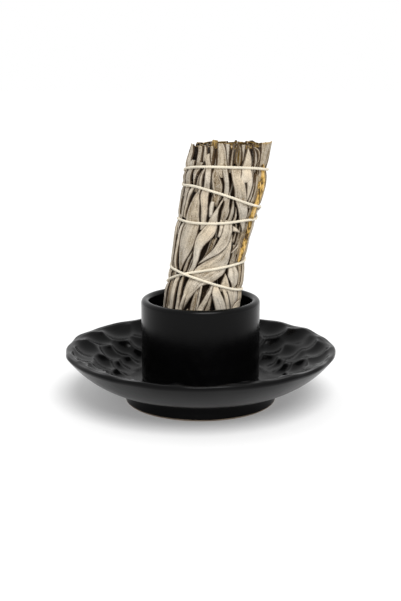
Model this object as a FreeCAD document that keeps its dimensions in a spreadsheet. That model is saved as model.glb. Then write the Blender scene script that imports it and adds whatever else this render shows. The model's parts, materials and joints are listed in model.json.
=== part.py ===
"""Incense burner: a hammered stoneware dish, a loose holder cup and a bound bundle of dried sage.

Frame: millimetres, +Z up, origin at the centre of the dish's foot ring on the table.
The bundle leans to +X and is drawn in its own frame: its Z runs up the bundle from the cup's floor,
and angles round it start at the front (-Y) and grow towards +X.
"""
import FreeCAD, Part
import math
import os

import Sketcher

from FreeCAD import Placement, Rotation, Vector

doc = FreeCAD.newDocument("incense_burner")
sheet = doc.addObject("Spreadsheet::Sheet", "Sizes")

# Driving sizes, in millimetres and degrees
SIZES = {
    # dish
    "dish_radius": 60.0,
    "dish_height": 23.8,
    "lip_radius": 1.8,
    "floor_height": 9.4,
    "floor_thickness": 5.6,
    "floor_margin": 6.5,
    "underside_radius": 42.0,
    "foot_radius": 33.7,
    "foot_height": 6.2,
    "foot_flare": 0.6,
    "foot_ring_width": 4.6,
    # hammered dimples in the dish's wall
    "dimple_rows": 3,
    "dimples_per_row": 28,
    "dimple_ridge": 0.4,
    "dimple_depth": 0.8,
    # holder cup, with room beside the bundle
    "cup_room": 2.86,
    "cup_height": 36.6,
    "cup_wall": 3.7,
    "cup_floor": 5.0,
    "cup_base_round": 1.4,
    "cup_inner_round": 3.0,
    "cup_ring_width": 5.0,
    "cup_ring_depth": 0.8,
    # bundle: a ring of sprigs, each a stem in a wedge of pressed leaves with loose leaves outside
    "bundle_lean": 9.3,
    "bundle_offset": 3.4,
    "bundle_length": 101.6,
    "sprig_count": 6,
    "sprig_gap_angle": 1.0,
    "core_radius": 14.5,
    "core_hollow": 1.0,
    "core_short": 2.0,
    "stem_radius": 1.6,
    "stem_ring_radius": 7.6,
    "stem_clearance": 0.1,
    "stem_short": 6.0,
    "leaf_floor_gap": 0.3242,
    "leaf_top": 0.6,
    "leaf_tier_share": 0.7,
    "leaf_layer_drop": 2.0,
    "leaf_side_gap": 1.1,
    "leaf_thickness": 0.8,
    "leaf_gap": 0.12,
    "twig_width": 3.0,
    # cotton thread
    "thread_diameter": 1.2,
    "thread_seat_gap": 0.12,
    "thread_cross_gap": 0.6,
    "knot_radius": 1.6,
    "knot_length": 3.0,
}
LEAF_TIERS = 3
LEAF_LAYERS = 2
TRIM_MARGIN = 1.2
# The sprig, layer and tier whose leaf the twig replaces
TWIG_PLACE = (1, 1, 2)

# Height of the thread on the bundle at each quarter turn: back, left, front, right and round again.
# It climbs from the knot at the back, turns at the top and crosses over itself on the way down.
THREAD_HEIGHTS = [
    35.0, 37.3, 45.5, 50.8,
    57.8, 64.8, 68.2, 71.0,
    78.7, 86.4, 90.5, 91.6,
    87.0, 80.2, 79.0, 75.8,
    60.0, 43.6, 42.0, 37.9,
    35.0,
]
THREAD_TOP_TURN = 11

for row, (alias, value) in enumerate(SIZES.items(), start=1):
    sheet.set(f"A{row}", alias)
    sheet.set(f"B{row}", str(value))
    sheet.setAlias(f"B{row}", alias)
doc.recompute()


def size(alias):
    """A driving size as a plain number."""
    return float(sheet.get(alias))


def in_cells(expression):
    """An expression with each <alias> in it turned into the sheet's cell."""
    return expression.replace("<", "Sizes.").replace(">", "")


def bind(thing, prop, expression):
    """Ties a property to the sheet."""
    thing.setExpression(prop, in_cells(expression))


def number(expression):
    """What an expression comes to now."""
    value = sheet.evalExpression(in_cells(expression))
    return float(getattr(value, "Value", value))


# Sizes that follow from the driving ones, as expressions
LAYER_STEP = "(<leaf_thickness> + <leaf_gap>)"
BUNDLE_RADIUS = f"(<core_radius> + {LEAF_LAYERS} * {LAYER_STEP})"
CUP_INSIDE = f"({BUNDLE_RADIUS} + <bundle_offset> + <cup_room>)"
CUP_RADIUS = f"({CUP_INSIDE} + <cup_wall>)"
FLOOR_RADIUS = f"({CUP_RADIUS} + <floor_margin>)"
SPRIG_STEP = "(360 / <sprig_count>)"
LEAF_WIDTH = f"(2 * <core_radius> * sin({SPRIG_STEP} * 0.5 deg) - <leaf_side_gap>)"
LEAN = "(<bundle_lean> * 1 deg)"
LEAF_BASE = f"({BUNDLE_RADIUS} * tan({LEAN}) + <leaf_layer_drop> + <leaf_floor_gap>)"
LEAF_SPAN = f"(<bundle_length> - {LEAF_BASE} - <leaf_top>)"
LEAF_LENGTH = f"({LEAF_SPAN} / (1 + {LEAF_TIERS - 1} * <leaf_tier_share>))"
CUP_FLOOR_HEIGHT = "<floor_height> + <cup_floor>"


# Sketch helpers


def origin_feature(body, role):
    return next(f for f in body.Origin.OriginFeatures if f.Role == role)


def new_sketch(body, name, plane="XZ_Plane", turn="0"):
    """A sketch on one of the body's planes; turn rotates an XZ sketch about the Z axis, in degrees."""
    sketch = body.newObject("Sketcher::SketchObject", name)
    sketch.AttachmentSupport = [(origin_feature(body, plane), "")]
    sketch.MapMode = "FlatFace"
    if turn != "0":
        sketch.AttachmentOffset = Placement(Vector(), Rotation(Vector(0, 1, 0), number(turn)))
        bind(sketch, "AttachmentOffset.Rotation.Angle", turn)
    return sketch


def arc_through(start, end, radius):
    """An arc of under a half turn; a positive radius turns left from start to end."""
    chord = end - start
    middle = (start + end) * 0.5
    rise = math.sqrt(max(radius * radius - chord.Length ** 2 / 4, 0.0))
    left = Vector(-chord.y, chord.x, 0).normalize()
    centre = middle + left * math.copysign(rise, radius)
    first, last = (start, end) if radius > 0 else (end, start)
    angles = [math.atan2(p.y - centre.y, p.x - centre.x) for p in (first, last)]
    circle = Part.Circle(centre, Vector(0, 0, 1), abs(radius))
    return Part.ArcOfCircle(circle, angles[0], angles[1])


def pin_point(sketch, edge, end, at):
    """Holds one end of an edge at a pair of expressions."""
    for kind, axis, expression in (("DistanceX", -2, at[0]), ("DistanceY", -1, at[1])):
        if expression == "0":
            sketch.addConstraint(Sketcher.Constraint("PointOnObject", edge, end, axis))
            continue
        which = sketch.addConstraint(Sketcher.Constraint(kind, -1, 1, edge, end, number(expression)))
        bind(sketch, f"Constraints[{which}]", expression)


def outline(sketch, corners):
    """A closed outline. Each corner is (x, y) or (x, y, radius), the radius being that of the arc to the next
    corner, negative where the arc turns right. All are expressions."""
    places = [Vector(number(c[0]), number(c[1]), 0) for c in corners]
    ends = []
    for i, corner in enumerate(corners):
        start, end = places[i], places[(i + 1) % len(places)]
        if len(corner) == 2:
            edge = sketch.addGeometry(Part.LineSegment(start, end), False)
            ends.append((edge, 1, 2))
            continue
        radius = number(corner[2])
        edge = sketch.addGeometry(arc_through(start, end, radius), False)
        ends.append((edge, 1, 2) if radius > 0 else (edge, 2, 1))
    for i, (edge, _, end) in enumerate(ends):
        following, start, _ = ends[(i + 1) % len(ends)]
        sketch.addConstraint(Sketcher.Constraint("Coincident", edge, end, following, start))
    for i, corner in enumerate(corners):
        edge, start, _ = ends[i]
        pin_point(sketch, edge, start, corner)
        if len(corner) == 3:
            radius = corner[2].lstrip("-")
            which = sketch.addConstraint(Sketcher.Constraint("Radius", edge, number(radius)))
            bind(sketch, f"Constraints[{which}]", radius)


def disc(sketch, x, y, radius):
    """A circle at a pair of expressions."""
    place = Vector(number(x), number(y), 0)
    edge = sketch.addGeometry(Part.Circle(place, Vector(0, 0, 1), number(radius)), False)
    pin_point(sketch, edge, 3, (x, y))
    which = sketch.addConstraint(Sketcher.Constraint("Radius", edge, number(radius)))
    bind(sketch, f"Constraints[{which}]", radius)


# Feature helpers


def new_body(label):
    body = doc.addObject("PartDesign::Body", label)
    body.Label = label
    return body


def revolve(body, sketch, angle=None):
    """Turns a sketch about its own vertical axis: all the way round, or evenly to both sides by an angle."""
    turned = body.newObject("PartDesign::Revolution", f"{sketch.Name}_turned")
    turned.Profile = sketch
    turned.ReferenceAxis = (sketch, ["V_Axis"])
    turned.Angle = 360.0
    if angle:
        turned.Midplane = True
        bind(turned, "Angle", angle)
    doc.recompute()
    return turned


def pocket(body, sketch, both_ways=True):
    """Cuts a sketch right through, both ways or only along its normal, and makes sure that it cut."""
    before = body.Shape.Volume
    cut = body.newObject("PartDesign::Pocket", f"{sketch.Name}_cut")
    cut.Profile = sketch
    cut.Type = 1
    cut.Midplane = both_ways
    cut.Reversed = not both_ways
    doc.recompute()
    if not body.Shape.Volume < before - 1e-6:
        raise RuntimeError(f"{cut.Name} cut nothing")
    return cut


def stand_in_cup(thing):
    """Places a piece drawn in the bundle's frame: leaning, on the cup's floor."""
    thing.Placement = Placement(Vector(), Rotation(Vector(0, 1, 0), size("bundle_lean")))
    bind(thing, "Placement.Rotation.Angle", "<bundle_lean>")
    bind(thing, "Placement.Base.x", "-<bundle_offset>")
    bind(thing, "Placement.Base.z", CUP_FLOOR_HEIGHT)


# Dish


def make_dish():
    """A shallow plate on a foot ring, with a flat floor and a sloping wall hammered into dimples."""
    body = new_body("dish")
    sketch = new_sketch(body, "dish_profile")
    foot_inner = "<foot_radius> - <foot_ring_width>"
    underneath = "<floor_height> - <floor_thickness>"
    lip_x = "(<dish_radius> - <lip_radius>)"
    lip_z = "(<dish_height> - <lip_radius>)"
    # the wall's inside is tangent to the lip's round
    run, rise = f"({lip_x} - {FLOOR_RADIUS})", f"({lip_z} - <floor_height>)"
    slope = f"(atan({rise} / {run}) + asin(<lip_radius> / sqrt({run} ^ 2 + {rise} ^ 2)))"
    wall_top_x = f"({lip_x} - <lip_radius> * sin({slope}))"
    wall_top_z = f"({lip_z} + <lip_radius> * cos({slope}))"
    outline(sketch, [
        (foot_inner, "0"),
        ("<foot_radius>", "0"),
        ("<foot_radius> + <foot_flare>", "<foot_height>", "<underside_radius>"),
        ("<dish_radius>", lip_z, "<lip_radius>"),
        (lip_x, "<dish_height>", "<lip_radius>"),
        (wall_top_x, wall_top_z),
        (FLOOR_RADIUS, "<floor_height>"),
        ("0", "<floor_height>"),
        ("0", underneath),
        (foot_inner, underneath),
    ])
    revolve(body, sketch)
    for row in range(int(size("dimple_rows"))):
        share = f"{row + 0.5} / <dimple_rows>"
        place_x = f"({wall_top_x} + ({FLOOR_RADIUS} - {wall_top_x}) * {share})"
        place_z = f"({wall_top_z} + (<floor_height> - {wall_top_z}) * {share})"
        pitch = f"({wall_top_x} - {FLOOR_RADIUS}) / cos({slope}) / <dimple_rows>"
        spacing = f"2 * {place_x} * sin(180 deg / <dimples_per_row>)"
        make_dimple_ring(body, row, place_x, place_z, slope, f"(min({pitch}; {spacing}) - <dimple_ridge>)")
    return body


def make_dimple_ring(body, row, place_x, place_z, slope, width):
    """One ring of round hollows, centred on a point of the wall. Every second ring is staggered."""
    before = body.Shape.Volume
    ball_radius = f"({width} ^ 2 / 4 + <dimple_depth> ^ 2) / (2 * <dimple_depth>)"
    lift = f"({ball_radius} - <dimple_depth>)"
    out = f"({place_x} - {lift} * sin({slope}))"
    stagger = f"({row % 2} * 180 deg / <dimples_per_row>)"
    ball = body.newObject("PartDesign::SubtractiveSphere", f"dimple_ball_{row + 1}")
    ball.AttachmentSupport = [(origin_feature(body, "XY_Plane"), "")]
    ball.MapMode = "FlatFace"
    bind(ball, "Radius", ball_radius)
    bind(ball, "AttachmentOffset.Base.x", f"{out} * cos({stagger})")
    bind(ball, "AttachmentOffset.Base.y", f"{out} * sin({stagger})")
    bind(ball, "AttachmentOffset.Base.z", f"{place_z} + {lift} * cos({slope})")
    doc.recompute()
    ring = body.newObject("PartDesign::PolarPattern", f"dimple_ring_{row + 1}")
    ring.Originals = [ball]
    ring.Axis = (origin_feature(body, "Z_Axis"), [""])
    ring.Angle = 360.0
    bind(ring, "Occurrences", "<dimples_per_row>")
    body.Tip = ring
    doc.recompute()
    if not body.Shape.Volume < before - 1.0:
        raise RuntimeError(f"dimple row {row + 1} cut nothing")


# Holder cup


def make_cup():
    """A thick round cup with a fully rounded lip, standing loose on the dish's floor on its own foot ring."""
    body = new_body("holder_cup")
    sketch = new_sketch(body, "cup_profile")
    ring_inner = f"{CUP_RADIUS} - <cup_base_round> - <cup_ring_width>"
    lip = "<cup_wall> / 2"
    outline(sketch, [
        (ring_inner, "0"),
        (f"{CUP_RADIUS} - <cup_base_round>", "0", "<cup_base_round>"),
        (CUP_RADIUS, "<cup_base_round>"),
        (CUP_RADIUS, f"<cup_height> - {lip}", lip),
        (f"{CUP_RADIUS} - {lip}", "<cup_height>", lip),
        (CUP_INSIDE, f"<cup_height> - {lip}"),
        (CUP_INSIDE, "<cup_floor> + <cup_inner_round>", "-<cup_inner_round>"),
        (f"{CUP_INSIDE} - <cup_inner_round>", "<cup_floor>"),
        ("0", "<cup_floor>"),
        ("0", "<cup_ring_depth>"),
        (ring_inner, "<cup_ring_depth>"),
    ])
    revolve(body, sketch)
    bind(body, "Placement.Base.z", "<floor_height>")
    return body


# Bundle


def make_pressed_leaves(sprig):
    """One sprig's inner leaves, pressed into a wedge of the bundle's core around its stem."""
    label = f"sprig_{sprig + 1}_pressed_leaves"
    body = new_body(label)
    slope = f"tan({LEAN})"
    wide = f"({TRIM_MARGIN} * <core_radius>)"
    top = "<bundle_length> - <core_short>"
    wedge = new_sketch(body, f"{label}_section", turn=f"{sprig} * {SPRIG_STEP} - 90")
    outline(wedge, [
        ("<core_hollow>", f"-{wide} * {slope}"),
        ("<core_radius>", f"-{wide} * {slope}"),
        ("<core_radius>", top),
        ("<core_hollow>", top),
    ])
    revolve(body, wedge, f"{SPRIG_STEP} - <sprig_gap_angle>")
    bore = new_sketch(body, f"{label}_bore", plane="XY_Plane")
    turn = f"({sprig} * {SPRIG_STEP} * 1 deg)"
    disc(bore, f"<stem_ring_radius> * sin({turn})", f"-<stem_ring_radius> * cos({turn})",
         "<stem_radius> + <stem_clearance>")
    pocket(body, bore)
    # the butt end is cut level, to stand on the cup's floor
    butt = new_sketch(body, f"{label}_butt")
    outline(butt, [
        (f"-{wide}", f"-{wide} * {slope}"),
        (f"-{wide}", f"-{wide}"),
        (wide, f"-{wide}"),
        (wide, f"{wide} * {slope}"),
    ])
    pocket(body, butt)
    stand_in_cup(body)
    return body


def make_stem(sprig):
    """One sprig's woody stem, standing on the cup's floor in its wedge of pressed leaves."""
    label = f"sprig_{sprig + 1}_stem"
    stem = doc.addObject("Part::Cylinder", label)
    stem.Label = label
    turn = f"({sprig} * {SPRIG_STEP} * 1 deg)"
    across = f"<stem_ring_radius> * sin({turn})"
    foot = f"(({across} + <stem_radius>) * tan({LEAN}))"
    bind(stem, "Radius", "<stem_radius>")
    bind(stem, "Height", f"<bundle_length> - <core_short> - {foot} - <stem_short> * {sprig % LEAF_TIERS}")
    stem.Placement = Placement(Vector(), Rotation(Vector(0, 1, 0), size("bundle_lean")))
    bind(stem, "Placement.Rotation.Angle", "<bundle_lean>")
    bind(stem, "Placement.Base.x", f"{across} * cos({LEAN}) + {foot} * sin({LEAN}) - <bundle_offset>")
    bind(stem, "Placement.Base.y", f"-<stem_ring_radius> * cos({turn})")
    bind(stem, "Placement.Base.z", f"{CUP_FLOOR_HEIGHT} - {across} * sin({LEAN}) + {foot} * cos({LEAN})")
    return stem


def make_loose_leaf(label, layer, angle, height, width):
    """A pointed leaf lying round the bundle: a curved plate trimmed to two arcs that meet at its tips."""
    body = new_body(label)
    inner = f"(<core_radius> + <leaf_gap> + {layer} * {LAYER_STEP})"
    bottom, top = f"({height} - {LEAF_LENGTH} / 2)", f"({height} + {LEAF_LENGTH} / 2)"
    plate = new_sketch(body, f"{label}_section", turn=f"{angle} - 90")
    outline(plate, [
        (inner, bottom),
        (f"{inner} + <leaf_thickness>", bottom),
        (f"{inner} + <leaf_thickness>", top),
        (inner, top),
    ])
    revolve(body, plate, f"{TRIM_MARGIN} * {width} / {inner} * 180 / pi")
    trim = new_sketch(body, f"{label}_outline", turn=angle)
    edge_radius = f"({LEAF_LENGTH} ^ 2 + {width} ^ 2) / (4 * {width})"
    outline(trim, [("0", bottom, edge_radius), ("0", top, edge_radius)])
    outline(trim, [
        (f"-{width}", f"{bottom} - {width}"),
        (width, f"{bottom} - {width}"),
        (width, f"{top} + {width}"),
        (f"-{width}", f"{top} + {width}"),
    ])
    pocket(body, trim, both_ways=False)
    stand_in_cup(body)
    return body


def make_loose_leaves():
    """Two layers of leaves in tiers up the bundle. Neighbouring tiers and the two layers are staggered by
    half a step, so each leaf covers the gap between two others. A flat woody twig takes one place on the
    right."""
    made = []
    for sprig in range(int(size("sprig_count"))):
        for layer in range(LEAF_LAYERS):
            for tier in range(LEAF_TIERS):
                label = f"sprig_{sprig + 1}_{('inner', 'outer')[layer]}_leaf_{tier + 1}"
                angle = f"(({sprig} + {(tier + layer) % 2 / 2}) * {SPRIG_STEP})"
                height = (f"({LEAF_BASE} + {LEAF_LENGTH} * (0.5 + {tier} * <leaf_tier_share>)"
                          f" - {layer} * <leaf_layer_drop>)")
                width = LEAF_WIDTH
                if (sprig, layer, tier) == TWIG_PLACE:
                    label, width = "outer_twig", "<twig_width>"
                made.append(make_loose_leaf(label, layer, angle, height, width))
    return made


# Cotton thread


def thread_radii():
    """Radius of the thread's centre line under and over a crossing."""
    under = number(BUNDLE_RADIUS) + size("thread_seat_gap") + size("thread_diameter") / 2
    return under, under + size("thread_diameter") + size("thread_cross_gap")


def thread_points():
    """Points and directions of the thread at each quarter turn, from the back, round by the left."""
    under, over = thread_radii()
    places, directions = [], []
    count = len(THREAD_HEIGHTS)
    radii = [under if k < THREAD_TOP_TURN else over for k in range(count)]
    radii[THREAD_TOP_TURN] = (under + over) / 2
    for k, height in enumerate(THREAD_HEIGHTS):
        angle = math.radians(180 + 90 * k)
        outward = Vector(math.sin(angle), -math.cos(angle), 0)
        along = Vector(math.cos(angle), math.sin(angle), 0)
        before, after = max(k - 1, 0), min(k + 1, count - 1)
        turn = math.pi / 2 * (after - before)
        climb = (THREAD_HEIGHTS[after] - THREAD_HEIGHTS[before]) / turn
        spread = (radii[after] - radii[before]) / turn
        if k in (0, count - 1):
            climb = spread = 0.0
        places.append(outward * radii[k] + Vector(0, 0, height))
        directions.append((along * radii[k] + outward * spread + Vector(0, 0, climb)).normalize())
    return places, directions


def tangent_arc(start, direction, end):
    """The arc that leaves start in a direction and ends at end."""
    chord = end - start
    half = chord.Length / 2
    angle = direction.getAngle(chord)
    bulge = (direction - chord * (direction.dot(chord) / chord.Length ** 2)).normalize()
    middle = start + chord * 0.5 + bulge * (half * math.tan(angle / 2))
    return Part.Arc(start, middle, end).toShape()


def biarc(start, leaving, end, arriving):
    """Two arcs that join smoothly, from start and its direction to end and its direction."""
    chord = end - start
    both = leaving + arriving
    spread = 2 * (1 - leaving.dot(arriving))
    reach = (math.sqrt(chord.dot(both) ** 2 + spread * chord.dot(chord)) - chord.dot(both)) / spread
    joint = (start + leaving * reach + end - arriving * reach) * 0.5
    second = tangent_arc(end, arriving * -1, joint)
    second.reverse()
    return [tangent_arc(start, leaving, joint), second]


def make_thread():
    """The cotton thread: one unbroken tube from one face of the knot, five times round, to its other face."""
    places, directions = thread_points()
    diameter = size("thread_diameter")
    lead = directions[0] * (size("knot_length") / 2)
    places[0], places[-1] = places[0] + lead, places[-1] - lead
    straight = directions[0] * diameter
    edges = [Part.LineSegment(places[0], places[0] + straight).toShape()]
    turns = list(zip(places, directions))
    turns[0] = (places[0] + straight, directions[0])
    turns[-1] = (places[-1] - straight, directions[-1])
    for (start, leaving), (end, arriving) in zip(turns, turns[1:]):
        edges += biarc(start, leaving, end, arriving)
    edges.append(Part.LineSegment(places[-1] - straight, places[-1]).toShape())
    path = Part.Wire(edges)
    section = Part.Wire(Part.Circle(places[0], directions[0], diameter / 2).toShape())
    shell = Part.BRepOffsetAPI.MakePipeShell(path)
    shell.add(section)
    shell.build()
    shell.makeSolid()
    thread = doc.addObject("Part::Feature", "thread")
    thread.Label = "thread"
    thread.Shape = Part.Solid(Part.Shell(shell.shape().Faces))
    stand_in_cup(thread)
    report_thread(path, thread.Shape, diameter)
    return thread


def report_thread(path, tube, diameter):
    """Prints the thread's length and volume, and its least gap to itself measured on points."""
    points = path.discretize(Distance=diameter / 2)
    apart = 3 * diameter
    step = path.Length / (len(points) - 1)
    skip = int(apart / step) + 1
    least = min(a.distanceToPoint(b) for i, a in enumerate(points) for b in points[i + skip:])
    expected = math.pi * diameter ** 2 / 4 * path.Length
    print(f"thread: length {path.Length:.1f} mm, volume {tube.Volume:.1f} of {expected:.1f} mm3,"
          f" least gap to itself {least - diameter:.2f} mm")


def make_knot():
    """The knot at the back of the bundle that both ends of the thread run into."""
    under, over = thread_radii()
    knot = doc.addObject("Part::Cylinder", "thread_knot")
    knot.Label = "thread_knot"
    bind(knot, "Radius", "<knot_radius>")
    bind(knot, "Height", "<knot_length>")
    lean = Rotation(Vector(0, 1, 0), size("bundle_lean"))
    along = lean.multiply(Rotation(Vector(0, 1, 0), 90))
    middle = Vector(-size("knot_length") / 2, (under + over) / 2, THREAD_HEIGHTS[0])
    base = Vector(-size("bundle_offset"), 0, size("floor_height") + size("cup_floor"))
    knot.Placement = Placement(base + lean.multVec(middle), along)
    return knot


def make_all():
    pieces = [make_dish(), make_cup()]
    for sprig in range(int(size("sprig_count"))):
        pieces.append(make_pressed_leaves(sprig))
        pieces.append(make_stem(sprig))
    pieces += make_loose_leaves()
    pieces += [make_thread(), make_knot()]
    return pieces


def check(pieces):
    """Stops if anything failed to build."""
    doc.recompute()
    for thing in doc.Objects:
        if {"Invalid", "Error"} & set(thing.State):
            raise RuntimeError(f"{thing.Label} failed: {thing.State}")
    for piece in pieces:
        shape = piece.Shape
        if shape.isNull() or not shape.isValid() or not shape.Solids:
            raise RuntimeError(f"{piece.Label} has no valid solid")
        if len(shape.Solids) != 1:
            raise RuntimeError(f"{piece.Label} came apart into {len(shape.Solids)} solids")


def write(pieces):
    os.makedirs("parts", exist_ok=True)
    for piece in pieces:
        piece.Shape.exportStep(f"parts/{piece.Label}.step")
    print(f"{len(pieces)} pieces written")


all_pieces = make_all()
check(all_pieces)
write(all_pieces)
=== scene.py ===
"""Looks of the incense burner: a hammered black dish, a holder cup and a thread-bound bundle of dried sage.

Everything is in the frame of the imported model, in metres with +Z up. Sizes on the bundle are in millimetres
in the bundle's own frame: heights run up the leaning bundle from the cup's floor, and angles round it are in
degrees from the front, growing to the right.
"""
import json
import math
import random
from collections import namedtuple

import bpy
import numpy as np
from bpy.props import FloatProperty, FloatVectorProperty, IntProperty, PointerProperty
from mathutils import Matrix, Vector


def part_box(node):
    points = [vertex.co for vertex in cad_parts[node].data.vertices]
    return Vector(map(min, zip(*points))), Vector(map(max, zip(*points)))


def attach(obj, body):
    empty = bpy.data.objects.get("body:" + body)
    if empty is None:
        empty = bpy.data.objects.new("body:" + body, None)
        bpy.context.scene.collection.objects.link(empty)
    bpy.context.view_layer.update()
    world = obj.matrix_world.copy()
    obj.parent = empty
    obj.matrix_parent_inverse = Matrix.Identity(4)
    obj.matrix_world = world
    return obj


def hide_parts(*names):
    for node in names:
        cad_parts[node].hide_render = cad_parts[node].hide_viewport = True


bl_info = {
    "name": "Incense burner looks",
    "version": (1, 0, 0),
    "blender": (4, 5, 0),
    "location": "3D View > Sidebar > Burner",
    "description": "Glazed dish and cup and a bound bundle of dried sage, built round the packed model",
    "category": "Object",
}

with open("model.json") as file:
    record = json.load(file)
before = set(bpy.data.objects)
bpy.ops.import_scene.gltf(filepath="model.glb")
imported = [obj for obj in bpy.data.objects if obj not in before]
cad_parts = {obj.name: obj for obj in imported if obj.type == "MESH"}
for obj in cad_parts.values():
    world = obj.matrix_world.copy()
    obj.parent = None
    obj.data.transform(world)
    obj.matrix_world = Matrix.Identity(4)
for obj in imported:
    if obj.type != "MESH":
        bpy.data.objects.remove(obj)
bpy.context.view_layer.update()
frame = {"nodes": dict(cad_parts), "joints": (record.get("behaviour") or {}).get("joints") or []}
_, DISH_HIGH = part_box("dish")
CUP_LOW, CUP_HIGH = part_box("holder_cup")
CORE_LOW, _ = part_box("sprig_1_pressed_leaves")
LEAN_AXIS = next(j["axis"] for j in frame["joints"] if j["name"] == "bundle_lift")
SPRIGS = sum(name.endswith("_stem") for name in frame["nodes"])

MM = 0.001
SEED = 7

# The bundle's place: it leans about the Y axis and its butt end stands on the cup's floor
LEAN = math.atan2(LEAN_AXIS[0], LEAN_AXIS[2])
BUNDLE_X = -3.4
BUNDLE_Z = CORE_LOW.z / MM
BUNDLE_TOP = 101.0
MEAN_RADIUS = 16.5

# Distance of the bundle's left and right outline from its axis, as (height, distance)
LEFT_OUTLINE = ((0, 15.2), (20, 16.3), (34, 17.0), (48, 16.4), (60, 16.8), (74, 16.6), (86, 17.2),
                (96, 16.4), (104, 16.2))
RIGHT_OUTLINE = ((0, 14.6), (20, 14.8), (38, 15.2), (52, 14.0), (62, 14.1), (70, 15.4), (78, 16.8),
                 (86, 17.5), (95, 16.6), (104, 16.8))
# How far the thread draws the leaves in, and how far from it that is felt
GROOVE_DEPTH = 0.45
GROOVE_REACH = 2.2
# Gap between the leaves and the cup's floor
FOOT_GAP = 0.2

# Height of the thread at each eighth of a turn, from the knot at the back, round by the left
THREAD_HEIGHTS = (
    35.0, 35.8, 37.0, 43.2, 48.0, 51.2, 52.2, 55.0,
    58.0, 62.0, 65.3, 66.0, 68.2, 70.9, 71.6, 75.0,
    79.0, 83.0, 86.6, 89.8, 92.2, 93.3, 92.4, 91.0,
    87.5, 83.5, 80.2, 81.6, 80.6, 77.8, 75.6, 69.0,
    60.0, 50.5, 44.4, 44.1, 42.4, 40.2, 38.8, 36.8,
    35.0,
)
# Angle of the knot, the turn between two of the heights and the turn at which the thread is at its top
THREAD_START = 180.0
THREAD_STEP = 45.0
THREAD_TOP = 990.0
THREAD_TURNS = round((len(THREAD_HEIGHTS) - 1) * THREAD_STEP / 360)
POINTS_A_TURN = 24
# How near to a crossing the thread begins to rise over itself, and a gap too wide for that
CROSSING_REACH = 1.9
NO_CROSSING = 9.0

# Route of the golden twig up the right of the bundle, as (angle, height)
TWIG_ROUTE = ((51, 52), (54, 56), (57, 60), (61, 63.5), (57, 68), (56, 73), (58, 79), (60, 84), (60, 89),
              (58, 95))
# The thread's rise over the twig, the angle where it is greatest and how far to each side it is felt
TWIG_RISE = 0.9
TWIG_ANGLE = 62.0
TWIG_REACH = 17.0

# How a leaf lies: the steepness and greatest height of its fold, the depth to which its ends tuck in, the
# steepness of its tilt, the ripples along it, and how far the bundle's sides and the thread press it flat
FOLD_STEEP = 0.7
FOLD_MOST = 0.9
TUCK = 0.8
TILT_STEEP = 1.3
RIPPLES = 2.2
SIDE_PRESS = 0.6
THREAD_PRESS = 0.75
THREAD_PRESS_REACH = 1.5
# How much darker a leaf is painted deep in the bundle and beside the thread, as the shade there, and how much
# darker it is near the cut top
DEEP_SHADE = 0.35
THREAD_SHADE = 0.15
TOP_DARKENING = 0.06
# Gold of a cut tip, and how much broader the brown margins are near the top
CUT_GOLD = 0.8
TOP_MARGIN = 0.26

# Leaves drawn by chance: heights and count of the under layer, counts at the foot and the sides, and the
# layers of the rings that fill the top, of which the outer ones lie in the shade
UNDER_TIERS = (14, 32, 50, 68, 82)
UNDER_COUNT = 15
FOOT_COUNT = 23
FOOT_STEP = 15.7
SIDE_COUNT = 16
SIDES = (95.0, 265.0)
TOP_RINGS = (-2.0, -4.0, -6.0, -8.0, -10.0, -12.0, -14.0)
SHADED_RINGS = 2
SHADED_TONE = 0.1


# Settings


def length(name, description, size):
    """A setting for a length, its default given in millimetres."""
    return FloatProperty(name=name, description=description, default=size * MM, unit="LENGTH")


def paint(name, description, colour):
    """A setting for a colour."""
    return FloatVectorProperty(name=name, description=description, default=colour, subtype="COLOR", size=3)


class DishSettings(bpy.types.PropertyGroup):
    """Sizes of the dish that the eye sees"""
    lip: length("Lip radius", "Round of the rim's corners", 1.3)
    lip_flat: length("Lip flat", "Breadth of the flat on the rim", 1.0)
    floor_height: length("Floor height", "Height of the flat floor", CUP_LOW.z / MM)
    floor_radius: length("Floor radius", "Where the sloping wall begins", 32.8)
    foot_radius: length("Foot radius", "Outside of the foot ring", 33.7)
    foot_height: length("Foot height", "Height of the foot ring outside", 6.2)
    foot_width: length("Foot ring width", "Breadth of the ring that stands on the table", 4.6)
    recess: length("Recess", "Depth of the hollow inside the foot ring", 3.8)
    underside_bulge: length("Underside bulge", "How far the underside swells from a straight line", 2.8)
    dimples: IntProperty(name="Dimples", description="Hammer marks in each ring", default=23)
    rings: IntProperty(name="Rings", description="Rings of hammer marks up the wall", default=3)
    depth: length("Dimple depth", "Depth of a hammer mark", 2.8)


class CupSettings(bpy.types.PropertyGroup):
    """Sizes of the cup that the eye sees"""
    wall: length("Wall", "Thickness of the wall, whose lip is fully rounded", 3.7)
    base: length("Base round", "Round of the corner that it stands on", 1.4)
    ring: length("Foot ring width", "Breadth of the ring that stands on the dish", 5.0)
    recess: length("Recess", "Depth of the hollow inside the foot ring", 0.8)
    inner_round: length("Inner round", "Round between the inside's wall and floor", 3.0)


class GlazeSettings(bpy.types.PropertyGroup):
    """Finish of the black glaze and of the bare clay under the foot"""
    colour: paint("Glaze", "Colour of the glaze", (0.0012, 0.0012, 0.0013))
    clay: paint("Clay", "Unglazed clay at the foot", (0.42, 0.33, 0.25))
    roughness: FloatProperty(
        name="Roughness", description="Mean roughness of the satin glaze", default=0.22, subtype="FACTOR")


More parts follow.
